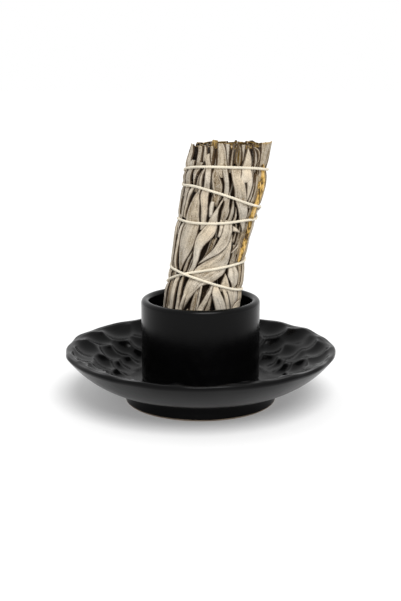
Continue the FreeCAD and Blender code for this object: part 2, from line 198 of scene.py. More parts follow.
class BundleSettings(bpy.types.PropertyGroup):
    """Colours of the sage and the thread, and their thickness"""
    leaf: paint("Leaf", "Grey-beige face of a dried leaf", (0.53, 0.465, 0.37))
    leaf_shade: paint("Leaf shade", "Darker leaves and mottling", (0.24, 0.17, 0.09))
    # the margin's brown is partly the leaves' own and partly painted shade of the gaps between them; a third
    # of it is the painted near-black deep in the bundle
    margin: paint("Margin", "Brown edge of a leaf", (0.065, 0.034, 0.012))
    gold: paint("Gold", "Golden cut ends and twig", (0.60, 0.37, 0.085))
    # painted shade: the core is near black as the shade deep in the bundle
    core: paint("Core", "Pressed leaves in the dark", (0.017, 0.009, 0.004))
    cotton: paint("Cotton", "Undyed cotton thread", (0.90, 0.82, 0.66))
    leaf_thickness: length("Leaf thickness", "Thickness of a felted leaf", 0.45)
    thread_radius: length("Thread radius", "Half of the thread's thickness", 0.6)


# Modelling helpers


def deselect():
    if bpy.context.object and bpy.context.object.mode != "OBJECT":
        bpy.ops.object.mode_set(mode="OBJECT")
    bpy.ops.object.select_all(action="DESELECT")


def pick(*objects):
    """Selects only these objects, the first of them active."""
    deselect()
    for obj in objects:
        obj.select_set(True)
    bpy.context.view_layer.objects.active = objects[0]


def spun(name, profile, steps):
    """A round piece: a chain of (radius, height) points extruded point by point and spun about the Z axis."""
    deselect()
    bpy.ops.mesh.primitive_plane_add(size=MM, location=(profile[0][0], 0, profile[0][1]))
    obj = bpy.context.object
    obj.name = obj.data.name = name
    bpy.ops.object.transform_apply(location=True)
    bpy.ops.object.mode_set(mode="EDIT")
    bpy.ops.mesh.select_all(action="SELECT")
    bpy.ops.mesh.merge(type="CENTER")
    for (r0, z0), (r1, z1) in zip(profile, profile[1:]):
        bpy.ops.mesh.extrude_vertices_move(TRANSFORM_OT_translate={"value": (r1 - r0, 0, z1 - z0)})
    bpy.ops.mesh.select_all(action="SELECT")
    bpy.ops.mesh.spin(steps=steps, angle=2 * math.pi, center=(0, 0, 0), axis=(0, 0, 1))
    bpy.ops.mesh.select_all(action="SELECT")
    bpy.ops.mesh.remove_doubles(threshold=1e-6)
    bpy.ops.mesh.normals_make_consistent(inside=False)
    bpy.ops.object.mode_set(mode="OBJECT")
    bpy.ops.object.shade_smooth()
    return obj


def line_on(profile, end, parts):
    """Carries a chain of (radius, height) points on along a straight line."""
    r, z = profile[-1]
    profile += [(r + (end[0] - r) * i / parts, z + (end[1] - z) * i / parts) for i in range(1, parts + 1)]


def bulge_on(profile, end, bulge, parts):
    """Carries a chain of points on along an arc that swells to the right of its way."""
    start = profile[-1]
    dx, dz = end[0] - start[0], end[1] - start[1]
    chord = math.hypot(dx, dz)
    radius = (chord * chord / 4 + bulge * bulge) / (2 * bulge)
    out = (dz / chord, -dx / chord)
    centre = [(start[k] + end[k]) / 2 - out[k] * (radius - bulge) for k in (0, 1)]
    half = math.asin(chord / 2 / radius)
    for i in range(1, parts + 1):
        angle = half * (2 * i / parts - 1)
        forth, swell = radius * math.sin(angle) / chord, radius * math.cos(angle)
        profile.append((centre[0] + out[0] * swell + dx * forth, centre[1] + out[1] * swell + dz * forth))


def round_on(profile, centre, radius, first, last, parts):
    """Carries a chain of points on round a centre, from one angle to another in degrees."""
    for i in range(1, parts + 1):
        angle = math.radians(first + (last - first) * i / parts)
        profile.append((centre[0] + radius * math.cos(angle), centre[1] + radius * math.sin(angle)))


def ringed_cylinder(corners, levels, fill="NGON", bevel=0.0):
    """A cylinder of unit radius and height, cut across into levels."""
    deselect()
    bpy.ops.mesh.primitive_cylinder_add(vertices=corners, radius=1, depth=1, end_fill_type=fill)
    obj = bpy.context.object
    bpy.ops.object.mode_set(mode="EDIT")
    bpy.ops.mesh.select_all(action="SELECT")
    if bevel:
        bpy.ops.mesh.bevel(offset=bevel, segments=2, affect="EDGES")
    for level in range(1, levels):
        bpy.ops.mesh.select_all(action="SELECT")
        bpy.ops.mesh.bisect(plane_co=(0, 0, level / levels - 0.5), plane_no=(0, 0, 1))
    bpy.ops.object.mode_set(mode="OBJECT")
    bpy.ops.object.shade_smooth_by_angle(angle=math.radians(50))
    return obj


def vertices(obj):
    """The mesh's vertices as an array, in metres."""
    co = np.empty(len(obj.data.vertices) * 3, np.float32)
    obj.data.vertices.foreach_get("co", co)
    return co.reshape(-1, 3).astype(float)


def move_vertices(obj, places):
    obj.data.vertices.foreach_set("co", np.asarray(places, np.float32).ravel())
    obj.data.update()


def give_attribute(obj, name, values):
    """A number or a vector for each vertex that the materials can read."""
    values = np.asarray(values, np.float32)
    kind, field = ("FLOAT", "value") if values.ndim == 1 else ("FLOAT_VECTOR", "vector")
    attribute = obj.data.attributes.new(name, kind, "POINT")
    attribute.data.foreach_set(field, values.ravel())


def fade(value, start, reach):
    """Zero up to the start, then growing to one over a reach."""
    return np.clip((value - start) / reach, 0, 1)


def near(gap, reach):
    """One where there is no gap, falling off smoothly over a reach."""
    return np.exp(-(gap / reach) ** 2)


def finish_piece(obj, body, material, replaced):
    """Gives a piece its material and its body, and hides the imported nodes that it stands for."""
    obj.data.materials.clear()
    obj.data.materials.append(material)
    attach(obj, body)
    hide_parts(*replaced)


# Material helpers


def add_node(tree, kind, **values):
    """A node with some of its properties, or inputs by name, set."""
    node = tree.nodes.new(kind)
    for name, value in values.items():
        label = name.replace("_", " ")
        if label in node.inputs:
            node.inputs[label].default_value = value
        else:
            setattr(node, name, value)
    return node


def ramp(tree, value, *stops):
    """A colour ramp through (position, grey or colour) stops."""
    node = tree.nodes.new("ShaderNodeValToRGB")
    elements = node.color_ramp.elements
    while len(elements) < len(stops):
        elements.new(0.5)
    for element, (position, colour) in zip(elements, stops):
        element.position = position
        element.color = (*colour, 1) if hasattr(colour, "__len__") else (colour, colour, colour, 1)
    tree.links.new(value, node.inputs["Fac"])
    return node.outputs["Color"]


def mixed(tree, amount, first, second, blend="MIX"):
    """One colour mixed with another by an amount; each is a socket or a value."""
    node = tree.nodes.new("ShaderNodeMix")
    node.data_type = "RGBA"
    node.blend_type = blend
    for socket, value in ((node.inputs[0], amount), (node.inputs[6], first), (node.inputs[7], second)):
        if isinstance(value, bpy.types.NodeSocket):
            tree.links.new(value, socket)
        elif hasattr(value, "__len__"):
            socket.default_value = (*value, 1)
        else:
            socket.default_value = value
    return node.outputs[2]


def worked(tree, operation, first, second):
    """Arithmetic on two sockets or numbers."""
    node = tree.nodes.new("ShaderNodeMath")
    node.operation = operation
    for socket, value in zip(node.inputs, (first, second)):
        if isinstance(value, bpy.types.NodeSocket):
            tree.links.new(value, socket)
        else:
            socket.default_value = value
    return node.outputs[0]


def plus(tree, first, second):
    return worked(tree, "ADD", first, second)


def times(tree, first, second):
    return worked(tree, "MULTIPLY", first, second)


def swing(tree, value, amount):
    """A noise's swing about its mean, made larger or smaller."""
    return times(tree, worked(tree, "SUBTRACT", value, 0.5), amount)


def grey(level):
    return (level, level, level)


def scaled(colour, share):
    """A colour made lighter or darker."""
    return [min(1.0, share * c) for c in colour]


def vertex_value(tree, name, output="Fac"):
    """The number or vector that a piece's vertices have under a name."""
    return add_node(tree, "ShaderNodeAttribute", attribute_name=name).outputs[output]


def noise(tree, place, **values):
    node = add_node(tree, "ShaderNodeTexNoise", **values)
    tree.links.new(place, node.inputs["Vector"])
    return node.outputs["Fac"]


def drawn_out(tree, place, stretch):
    """Places scaled by three numbers, so that a noise there is drawn out into streaks."""
    node = add_node(tree, "ShaderNodeVectorMath", operation="MULTIPLY")
    node.inputs[1].default_value = stretch
    tree.links.new(place, node.inputs[0])
    return node.outputs[0]


def new_material(name, **values):
    """A material and its shader with some sockets set."""
    material = bpy.data.materials.new(name)
    material.use_nodes = True
    shader = material.node_tree.nodes["Principled BSDF"]
    for socket, value in values.items():
        shader.inputs[socket.replace("_", " ")].default_value = value
    return material, material.node_tree, shader


def bump(tree, shader, height, strength, distance):
    node = add_node(tree, "ShaderNodeBump", Strength=strength, Distance=distance)
    tree.links.new(height, node.inputs["Height"])
    tree.links.new(node.outputs["Normal"], shader.inputs["Normal"])


def white_rays(tree):
    """One for the rays that should find a white studio, zero for the rays that light the object."""
    path = tree.nodes.new("ShaderNodeLightPath").outputs
    mirrored = worked(tree, "MAXIMUM", path["Is Glossy Ray"], path["Is Transmission Ray"])
    return worked(tree, "MAXIMUM", path["Is Camera Ray"], mirrored)


def mottle_group():
    """Two sizes of noise in one: broad patches with fine grain over them. Used by every natural material."""
    if "mottle" in bpy.data.node_groups:
        return bpy.data.node_groups["mottle"]
    group = bpy.data.node_groups.new("mottle", "ShaderNodeTree")
    given, put = group.nodes.new("NodeGroupInput"), group.nodes.new("NodeGroupOutput")
    place = group.nodes.new("ShaderNodeTexCoord").outputs["Object"]
    for label, detail in (("Patch", 3.0), ("Grain", 4.0)):
        group.interface.new_socket(f"{label} scale", in_out="INPUT", socket_type="NodeSocketFloat")
        group.interface.new_socket(label, in_out="OUTPUT", socket_type="NodeSocketFloat")
        node = add_node(group, "ShaderNodeTexNoise", Detail=detail, Roughness=0.6)
        group.links.new(place, node.inputs["Vector"])
        group.links.new(given.outputs[f"{label} scale"], node.inputs["Scale"])
        group.links.new(node.outputs["Fac"], put.inputs[label])
    return group


def mottle(tree, patch, grain):
    node = tree.nodes.new("ShaderNodeGroup")
    node.node_tree = mottle_group()
    node.inputs["Patch scale"].default_value = patch
    node.inputs["Grain scale"].default_value = grain
    return node.outputs["Patch"], node.outputs["Grain"]


# Materials


def glaze_material(name, clay_below, gloss):
    """Satin black glaze with a faint orange-peel skin; below a height the clay is bare."""
    settings = bpy.context.scene.burner_glaze
    material, tree, shader = new_material(name, Specular_IOR_Level=gloss)
    patch, grain = mottle(tree, patch=55.0, grain=900.0)
    uneven = 0.05
    rough = ramp(tree, patch, (0.3, settings.roughness - uneven), (0.7, settings.roughness + uneven))
    colour = ramp(tree, patch, (0.3, settings.colour[:]), (0.7, scaled(settings.colour, 1.5)))
    place = tree.nodes.new("ShaderNodeTexCoord").outputs["Object"]
    apart = tree.nodes.new("ShaderNodeSeparateXYZ")
    tree.links.new(place, apart.inputs[0])
    # the glaze ends in a wavering line
    edge = plus(tree, apart.outputs["Z"], times(tree, patch, 0.4 * MM))
    bare = worked(tree, "LESS_THAN", edge, clay_below)
    tree.links.new(mixed(tree, bare, colour, settings.clay[:]), shader.inputs["Base Color"])
    tree.links.new(mixed(tree, bare, rough, grey(0.85)), shader.inputs["Roughness"])
    bump(tree, shader, plus(tree, patch, times(tree, grain, 0.12)), strength=0.06, distance=0.6 * MM)
    return material


def leaf_colour(tree, settings, blade, streak, patch, grain):
    """A leaf's colour without its margin: mottled by its tone, greyer or warmer, and golden in places."""
    shade = vertex_value(tree, "tone")
    for value, amount in ((streak, 1.05), (patch, 0.7), (grain, 1.3)):
        shade = plus(tree, shade, swing(tree, value, amount))
    # the ramp's near-black end shows mostly where painted shade has lowered the tone: deep in the bundle,
    # beside the thread and in the under layer
    colour = ramp(tree, shade, (0.0, scaled(settings.margin, 0.3)), (0.18, settings.leaf_shade[:]),
                  (0.5, settings.leaf[:]), (0.9, scaled(settings.leaf, 1.55)))
    # each leaf is a little greyer or warmer than the next
    hue = noise(tree, blade, Scale=0.06, Detail=0.0)
    tint = ramp(tree, hue, (0.36, (0.97, 0.99, 1.03)), (0.64, (1.03, 0.985, 0.92)))
    colour = mixed(tree, 1.0, colour, tint, "MULTIPLY")
    golden = times(tree, vertex_value(tree, "gold"), ramp(tree, grain, (0.35, 0.3), (0.6, 1.0)))
    return mixed(tree, golden, colour, settings.gold[:])


def leaf_material():
    """Felted grey-beige leaf: streaked along its length, with a brown margin that is partly its own colour
    and partly painted shade of the gaps, and a painted highlight just inside it.
    """
    settings = bpy.context.scene.burner_bundle
    material, tree, shader = new_material("sage_leaf", Roughness=0.85, Specular_IOR_Level=0.12,
                                          Sheen_Weight=0.1, Sheen_Roughness=0.5)
    patch, grain = mottle(tree, patch=260.0, grain=2600.0)
    blade = vertex_value(tree, "blade", "Vector")
    streak = noise(tree, drawn_out(tree, blade, (1.0, 0.12, 1.0)), Scale=0.9, Detail=3.0, Roughness=0.6)
    # the margin's line wavers with the mottling
    margin = plus(tree, vertex_value(tree, "margin"), swing(tree, patch, 0.5))
    # painted highlight: a pale band just inside the margin, where the rolled edge would catch the light
    margin_highlight = ramp(tree, margin, (0.25, 0.0), (0.42, 0.6), (0.6, 0.45), (1.0, 0.0))
    # the margin's brown is partly the leaf's own brown edge and partly painted shade of the gaps between
    # leaves
    brown_margin_and_shade = ramp(tree, margin, (0.08, 0.92), (0.24, 0.45), (0.42, 0.0))
    rim = ramp(tree, margin, (0.0, 0.0), (0.35, 0.0), (0.6, 1.0), (1.0, 0.4))
    colour = leaf_colour(tree, settings, blade, streak, patch, grain)
    colour = mixed(tree, margin_highlight, colour, scaled(settings.leaf, 1.45))
    colour = mixed(tree, brown_margin_and_shade, colour, settings.margin[:])
    tree.links.new(colour, shader.inputs["Base Color"])
    height = plus(tree, streak, times(tree, rim, 0.35))
    height = plus(tree, height, plus(tree, patch, times(tree, grain, 0.5)))
    bump(tree, shader, height, strength=1.0, distance=0.9 * MM)
    return material


def core_material():
    """Leaves pressed together deep in the bundle, painted near black as the shade there."""
    settings = bpy.context.scene.burner_bundle
    material, tree, shader = new_material("pressed_leaves", Roughness=0.95, Specular_IOR_Level=0.11)
    patch, grain = mottle(tree, patch=240.0, grain=1700.0)
    colour = ramp(tree, patch, (0.35, scaled(settings.core, 0.5)), (0.65, settings.core[:]),
                  (0.85, scaled(settings.core, 2.2)))
    tree.links.new(colour, shader.inputs["Base Color"])
    bump(tree, shader, plus(tree, patch, grain), strength=0.8, distance=0.6 * MM)
    return material


def stem_material(name, brightness):
    """Woody stem: golden brown, streaked along its length."""
    settings = bpy.context.scene.burner_bundle
    material, tree, shader = new_material(name, Roughness=0.7, Specular_IOR_Level=0.25)
    patch, grain = mottle(tree, patch=330.0, grain=2600.0)
    place = tree.nodes.new("ShaderNodeTexCoord").outputs["Object"]
    streak = noise(tree, drawn_out(tree, place, (1.0, 1.0, 0.1)), Scale=1700.0, Detail=2.0, Roughness=0.5)
    shade = plus(tree, times(tree, streak, 0.6), times(tree, patch, 0.4))
    gold = scaled(settings.gold, brightness)
    pale = [min(1.0, 0.8 * c + 0.2) for c in gold]
    colour = ramp(tree, shade, (0.41, settings.margin[:]), (0.47, scaled(gold, 0.35)), (0.52, gold),
                  (0.62, pale))
    colour = mixed(tree, times(tree, grain, 0.2), colour, settings.leaf_shade[:])
    tree.links.new(colour, shader.inputs["Base Color"])
    bump(tree, shader, plus(tree, shade, times(tree, grain, 0.3)), strength=0.6, distance=0.6 * MM)
    return material


def cotton_material():
    """Undyed cotton: cream, a little fuzzy, duller in patches."""
    settings = bpy.context.scene.burner_bundle
    material, tree, shader = new_material("cotton_thread", Roughness=0.9, Specular_IOR_Level=0.15,
                                          Sheen_Weight=0.3, Sheen_Roughness=0.6)
    patch, grain = mottle(tree, patch=300.0, grain=4200.0)
    dull = scaled(settings.cotton, 0.82)
    colour = ramp(tree, patch, (0.3, dull), (0.65, settings.cotton[:]))
    colour = mixed(tree, times(tree, grain, 0.25), colour, dull)
    tree.links.new(colour, shader.inputs["Base Color"])
    bump(tree, shader, grain, strength=0.35, distance=0.3 * MM)
    return material


# The bundle's surface


def catmull(values, where):
    """Smooth curve through evenly spaced values, read at shares from 0 to 1."""
    values = np.asarray(values, float)
    last = len(values) - 1
    spot = np.clip(np.asarray(where, float), 0, 1) * last
    index = np.minimum(spot.astype(int), last - 1)
    u = spot - index
    p0, p1 = values[np.maximum(index - 1, 0)], values[index]
    p2, p3 = values[index + 1], values[np.minimum(index + 2, last)]
    return 0.5 * (2 * p1 + (p2 - p0) * u + (2 * p0 - 5 * p1 + 4 * p2 - p3) * u ** 2
                  + (3 * p1 - p0 - 3 * p2 + p3) * u ** 3)


def thread_height(turned):
    """Height of the thread after turning by an angle from the knot."""
    return catmull(THREAD_HEIGHTS, np.asarray(turned, float) / THREAD_STEP / (len(THREAD_HEIGHTS) - 1))


def gap_to_thread(angle, height):
    """Distance along the bundle to the nearest turn of the thread."""
    first = np.mod(np.asarray(angle, float) - THREAD_START, 360.0)
    return np.min([np.abs(height - thread_height(first + 360.0 * k)) for k in range(THREAD_TURNS)], axis=0)


def bundle_radius(angle, height):
    """Radius of the bundle, drawn in a little under the thread."""
    left = np.interp(height, *zip(*LEFT_OUTLINE))
    right = np.interp(height, *zip(*RIGHT_OUTLINE))
    plain = (left + right) / 2 + (right - left) / 2 * np.sin(np.radians(angle))
    return plain - GROOVE_DEPTH * near(gap_to_thread(angle, height), GROOVE_REACH)


def in_room(angle, height, radius):
    """Points of the bundle's frame, in millimetres, as places in the model's frame, in metres."""
    turn = np.radians(angle)
    x, y = radius * np.sin(turn), -radius * np.cos(turn)
    z = np.maximum(height, x * math.tan(LEAN) + FOOT_GAP)
    c, s = math.cos(LEAN), math.sin(LEAN)
    return np.stack([x * c + z * s + BUNDLE_X, y, z * c - x * s + BUNDLE_Z], axis=-1) * MM


# Leaves

# A leaf lies between two edges, each of (angle, height) points from its foot to its tip. layer: mm outside
# the bundle's surface; fold: how sharply it is folded along its midrib; tilt: how far its right edge stands
# up; tone: 0 dark to 1 pale; cut: whether its tip is cut off; gold: how golden it is
Leaf = namedtuple("Leaf", "left right layer tone fold tilt cut gold", defaults=(0.1, 0.0, False, 0.0))


def band(heights, left, right, *rest, **named):
    """A leaf whose edges have their points at the same heights, given by the angles of each edge."""
    return Leaf(tuple(zip(left, heights)), tuple(zip(right, heights)), *rest, **named)


TOP_LEAVES = (
    Leaf(((-102, 80), (-100, 88), (-92, 94)), ((-72, 82), (-72, 90), (-76, 95)), 0.3, 0.45, 0.15, -0.05),
    Leaf(((-84, 87), (-80, 94), (-82, 101)), ((-64, 88), (-62, 94), (-66, 101)), 0.5, 0.6, 0.2, 0.05,
         cut=True),
    band((86, 94, 101), (-54, -51, -55), (-43, -42, -44), 0.2, 0.4, 0.15, -0.1, cut=True),
    Leaf(((-40, 92), (-40, 97), (-42, 101)), ((-31, 94), (-34, 98), (-37, 101)), 0.4, 0.6, 0.3, 0.1,
         cut=True),
    band((90, 97, 101), (-28, -30, -33), (-22, -23, -25), 0.0, 0.38, 0.35, -0.1, cut=True),
    Leaf(((-17, 87), (-17, 93), (-19, 98), (-21, 102)), ((3, 88), (-1, 95), (-6, 99), (-11, 102)), 0.5, 0.55,
         0.05, 0.04, cut=True),
    Leaf(((-1, 92), (-5, 96), (-10, 102)), ((2, 91), (-1, 97), (-2, 102)), 0.8, 0.7, 0.2, 0.1, cut=True),
    band((90, 97, 102), (1, 1, 1), (8, 5, 4), 0.3, 0.6, 0.1, -0.1, cut=True),
    band((92, 96, 100, 102.3), (13, 7, 7, 8), (18, 18, 16, 11), 0.1, 0.05, -0.4, cut=True, gold=0.35),
    Leaf(((7, 94), (6, 98), (8, 102)), ((9, 94), (9, 98), (11, 102.5)), 0.5, 0.45, 0.4, gold=0.6),
    Leaf(((18, 95), (14, 100), (12, 102)), ((21, 96), (20, 100), (20, 102)), 0.3, 0.5, 0.1, 0.1, cut=True),
    Leaf(((18, 86), (19, 93), (20, 98), (22, 101.8)), ((38, 88), (35, 94), (30, 98), (23, 102)), 0.9, 0.85,
         0.06),
    Leaf(((40, 92), (36, 98), (29, 101.6)), ((45, 91), (44, 96), (38, 100), (31, 102)), 0.2, 0.45, 0.2, 0.15,
         cut=True),
    Leaf(((43, 96), (39, 100), (31, 101.6)), ((46, 95), (44, 100), (36, 102)), 0.7, 0.75, 0.3, gold=0.5),
    Leaf(((50, 88), (50, 95), (46, 102)), ((66, 88), (74, 96), (84, 102)), 0.3, 0.45, 0.06, 0.05, cut=True,
         gold=0.15),
    band((86, 94, 101), (75, 77, 80), (104, 106, 104), 0.2, 0.45, 0.1, cut=True, gold=0.2),
)

UPPER_LEAVES = (
    Leaf(((-96, 74), (-94, 82), (-90, 90)), ((-74, 76), (-74, 83), (-71, 91)), 0.2, 0.45, 0.12, 0.05),
    band((78, 84, 92), (-71, -69, -67), (-56, -56, -55), 0.4, 0.52, 0.25, -0.06),
    Leaf(((-50, 81), (-51, 86), (-51, 92)), ((-47, 82), (-44, 86), (-37, 92)), 0.3, 0.42, 0.2, 0.1),
    Leaf(((-47, 79), (-43, 84), (-37, 90)), ((-39, 79), (-38, 84), (-35, 89)), 0.0, 0.22, 0.2, -0.1),
    Leaf(((-39, 79), (-38, 84), (-35, 90)), ((-34, 79), (-33, 84), (-31, 91)), 0.5, 0.72, 0.4),
    Leaf(((-27, 64), (-28, 72), (-33, 79), (-29, 84), (-32, 90), (-38, 95.5)),
         ((-18, 65), (-18, 72), (-20, 79), (-20, 85), (-22, 90), (-28, 96.5)), 0.8, 0.66, 0.12, 0.03),
    Leaf(((-13, 78), (-17, 83), (-20, 88), (-20, 92)), ((-2, 78), (-3, 84), (-8, 87.5), (-15, 92)), 0.3,
         0.32, 0.06, -0.12),
    band((78, 84, 88, 93), (0, -1, -5, -12), (8, 6, 3, -1), 0.6, 0.58, 0.12, 0.06),
    band((65, 70, 75, 79.5, 84, 88, 93), (43, 33, 24, 17, 12, 7, 2), (45, 46, 42, 36, 30, 25, 20), 0.7, 0.58,
         0.05, -0.05),
    band((79, 87, 94), (35, 29, 22), (38, 39, 39), 0.4, 0.72, 0.12, 0.1),
    band((76, 83, 91), (39, 39, 41), (43, 43, 42), 0.3, 0.5, 0.5),
    band((76, 83, 91), (43, 44, 43), (49, 49, 47), 0.2, 0.35, 0.5),
    band((64, 78, 93), (66, 66, 68), (88, 90, 92), 0.1, 0.4, 0.1, gold=0.15),
    Leaf(((-100, 64), (-99, 69), (-93, 74)), ((-74, 64), (-76, 70), (-84, 75)), 0.8, 0.62, 0.1, -0.05),
    band((67, 75, 83), (-73, -72, -70), (-63, -60, -55), 0.2, 0.42, 0.2, 0.1),
    band((67, 74, 82), (-61, -59, -52), (-56, -53, -44), 0.5, 0.62, 0.4, -0.05),
    Leaf(((-15, 70), (-17, 74), (-16, 77)), ((-10, 71), (-10, 74), (-10, 77)), 0.8, 0.82, 0.55),
    band((75, 79, 82), (-17, -17, -16), (-5, -4, -2), 0.0, 0.28, 0.1, 0.15),
    Leaf(((2, 67), (1, 73), (2, 76), (3, 82)), ((8, 68), (12, 73), (11, 76), (7, 82)), 0.2, 0.42, 0.15, 0.12),
    band((68, 75, 82), (4, 7, 7), (6, 10, 9), 0.6, 0.75, 0.5),
    Leaf(((9, 67), (13, 72), (14, 79)), ((17, 67), (20, 73), (16, 80)), 0.1, 0.45, 0.15, -0.1),
    band((64, 74, 84), (46, 47, 47), (59, 60, 61), -0.4, 0.32, 0.2),
    band((80, 88, 96), (47, 48, 47), (61, 62, 63), -0.3, 0.4, 0.1, gold=0.3),
    band((62, 74, 88), (58, 60, 61), (73, 74, 75), -0.2, 0.5, 0.1, gold=0.2),
    band((69, 73, 76), (21, 21, 20), (27, 24, 21), 0.5, 0.88, 0.3),
)

MIDDLE_LEAVES = (
    Leaf(((-53, 43.5), (-57, 50), (-59, 55), (-58, 60), (-56, 66), (-52, 71), (-46, 76), (-39, 80.5)),
         ((-51, 44), (-41, 50), (-33, 55), (-29, 60), (-28, 65), (-30, 70), (-32, 76), (-37, 80.5)), 0.5,
         0.5, 0.04, 0.02),
    Leaf(((-37, 44), (-29, 49), (-30, 54), (-29, 60), (-24, 63.5), (-17, 67.5), (-12, 71), (-6, 75), (1, 80)),
         ((-27, 45.5), (-21, 50), (-19, 54.5), (-15, 58), (-5, 62), (-1, 66), (-3, 71), (-2, 75), (3, 80)),
         1.0, 0.76, 0.08, -0.03),
    Leaf(((-21, 49.5), (-11, 53.5), (-1.5, 57.5), (6, 63), (8, 70)),
         ((-20, 49.3), (-6, 52.5), (8, 55.5), (19, 59), (23, 64), (21, 70)), 0.9, 0.66, 0.05, -0.06),
    Leaf(((-35, 28), (-36, 36), (-31, 43), (-22, 48), (-8, 52), (9, 55.5), (19, 59), (24, 64)),
         ((-32, 28.5), (-20, 36), (-9, 40.5), (3, 42), (13, 44.5), (24, 48), (27.5, 54), (27, 64)), 0.5, 0.6,
         0.02, 0.03),
    Leaf(((-98, 58), (-94, 63), (-90, 68)), ((-70, 59), (-68, 64), (-68, 68)), 0.3, 0.5, 0.15),
    Leaf(((-100, 42), (-100, 51), (-94, 60)), ((-74, 44), (-73, 51), (-77, 59)), 0.2, 0.42, 0.12, 0.05),
    band((42, 49, 56, 65), (-63, -67, -67, -64), (-57, -61, -60, -57), 0.7, 0.75, 0.4),
    band((43, 50, 58), (-71, -72, -70), (-66, -67, -66), 0.2, 0.45, 0.4),
    band((43, 49, 55), (-47, -42, -33), (-41, -36, -31), 0.0, 0.32, 0.2),
    Leaf(((-40, 43), (-35, 47), (-31, 52)), ((-36, 44), (-32, 47), (-29, 52)), 0.2, 0.5, 0.4),
    Leaf(((-18, 51), (-12, 55), (-9, 61)), ((-8, 53), (-2, 57), (2, 62)), -0.3, 0.25, 0.1, 0.1),
    Leaf(((1, 62.5), (2, 66), (1, 70)), ((6, 62), (8, 65), (8, 70)), 0.4, 0.88, 0.15),
    Leaf(((31, 49), (31, 54), (32, 59)), ((44, 50), (41, 55), (38, 60)), 0.0, 0.33, 0.15, 0.1),
    Leaf(((27, 56.5), (32, 58), (39, 60.5)), ((28, 56), (33, 57), (40, 59.5)), 0.8, 0.8, 0.5),
    Leaf(((23, 68), (31, 67), (39, 65)), ((24, 65.5), (31, 65.2), (39, 64.6)), 0.6, 0.85, 0.3),
    band((48, 57, 66), (45, 46, 48), (60, 61, 61), -0.4, 0.34, 0.15),
    band((55, 63, 72), (34, 36, 37), (47, 48, 47), -0.5, 0.3, 0.2),
    Leaf(((27, 61), (29, 65), (26, 70)), ((33, 60), (33, 64), (31, 69)), -0.2, 0.35, 0.15),
    band((55, 60, 66), (40, 42, 44), (48, 50, 50), -0.2, 0.28, 0.2, gold=0.3),
    Leaf(((63, 49), (64, 57), (66, 66)), ((96, 48), (98, 57), (96, 66)), 0.1, 0.4, 0.1, gold=0.2),
)

LOW_LEAVES = (
    Leaf(((30, 49.5), (28.5, 46.5), (36, 43.5), (44, 40)), ((44, 51), (51, 46.5), (51, 43), (46, 40)), 0.7,
         0.76, 0.05, 0.05),
    Leaf(((24.5, 47), (21, 44), (18, 39)), ((25.5, 47), (33, 43.5), (43, 39)), 0.4, 0.62, 0.08, 0.05),
    band((39, 46, 52), (55, 54, 52), (62, 63, 64), 0.2, 0.35, 0.25, gold=0.1),
    band((39, 46, 53), (63, 65, 67), (72, 73, 73), 0.4, 0.65, 0.3, gold=0.25),
    band((38, 46, 53), (73, 75, 75), (96, 96, 96), 0.2, 0.5, 0.15, gold=0.2),
    band((18, 31, 45), (-102, -98, -92), (-76, -74, -72), 0.5, 0.55, 0.2, 0.05),
    band((18, 31, 45), (-74, -72, -70), (-62, -61, -60), -0.1, 0.22, 0.2),
    Leaf(((-61, 18), (-59, 30), (-58, 42)), ((-52, 18), (-50, 30), (-48, 43)), 0.6, 0.66, 0.35),
    Leaf(((-48, 18), (-46, 30), (-45, 43)), ((-40, 18), (-39, 31), (-39, 44)), 0.3, 0.55, 0.35),
    Leaf(((-43, 18), (-39, 28), (-34, 36)), ((-34, 18), (-32, 28), (-29, 35)), 0.7, 0.7, 0.35),
    Leaf(((-25, 17), (-22, 29), (-18, 38)), ((-13, 17), (-11, 29), (-11, 40)), 0.1, 0.4, 0.12, -0.06),
    Leaf(((-12, 28), (-12, 35), (-11, 41.5)), ((-9, 30), (-8, 36), (-8, 41.5)), 0.4, 0.75, 0.4),
    Leaf(((-24, 19), (-8, 32), (5, 42)), ((-12, 18), (1, 32), (10, 42)), 0.6, 0.66, 0.12),
    band((22, 31, 37), (-4, 1, 5), (7, 9, 9), 0.0, 0.36, 0.15),
    Leaf(((36, 18), (17, 31), (7, 38), (9, 41.5)), ((46, 18), (34, 32), (20, 39), (16, 41.5)), 0.9, 0.86,
         0.04, 0.05),
    Leaf(((50, 18), (34, 32), (21, 41)), ((55, 19), (41, 33), (28, 41)), 0.7, 0.8, 0.15, 0.08),
    Leaf(((53, 26), (41, 34), (30, 41)), ((60, 28), (53, 36), (47, 41)), 0.4, 0.6, 0.1, -0.08),
    Leaf(((46, 31.5), (52, 34), (66, 35.3), (84, 33.5)), ((45, 27), (54, 28.5), (68, 29), (86, 29)), 0.9,
         0.86, 0.15),
    Leaf(((58, 33), (60, 37), (61, 41)), ((90, 32), (86, 37), (76, 41)), 0.4, 0.62, 0.1, gold=0.35),
    Leaf(((50, 33), (48, 37), (46, 41)), ((60, 34), (60, 37), (58, 41)), 0.2, 0.62, 0.15),
    band((14, 22, 32), (64, 62, 60), (84, 84, 82), 0.3, 0.5, 0.1),
)
FRONT_LEAVES = TOP_LEAVES + UPPER_LEAVES + MIDDLE_LEAVES + LOW_LEAVES

# Front leaves within this angle of the middle are repeated at the back
BACK_SPREAD = 78.0


def middle_angle(leaf):
    """Angle round the bundle of a leaf's middle."""
    return (leaf.left[0][0] + leaf.left[-1][0] + leaf.right[0][0] + leaf.right[-1][0]) / 4


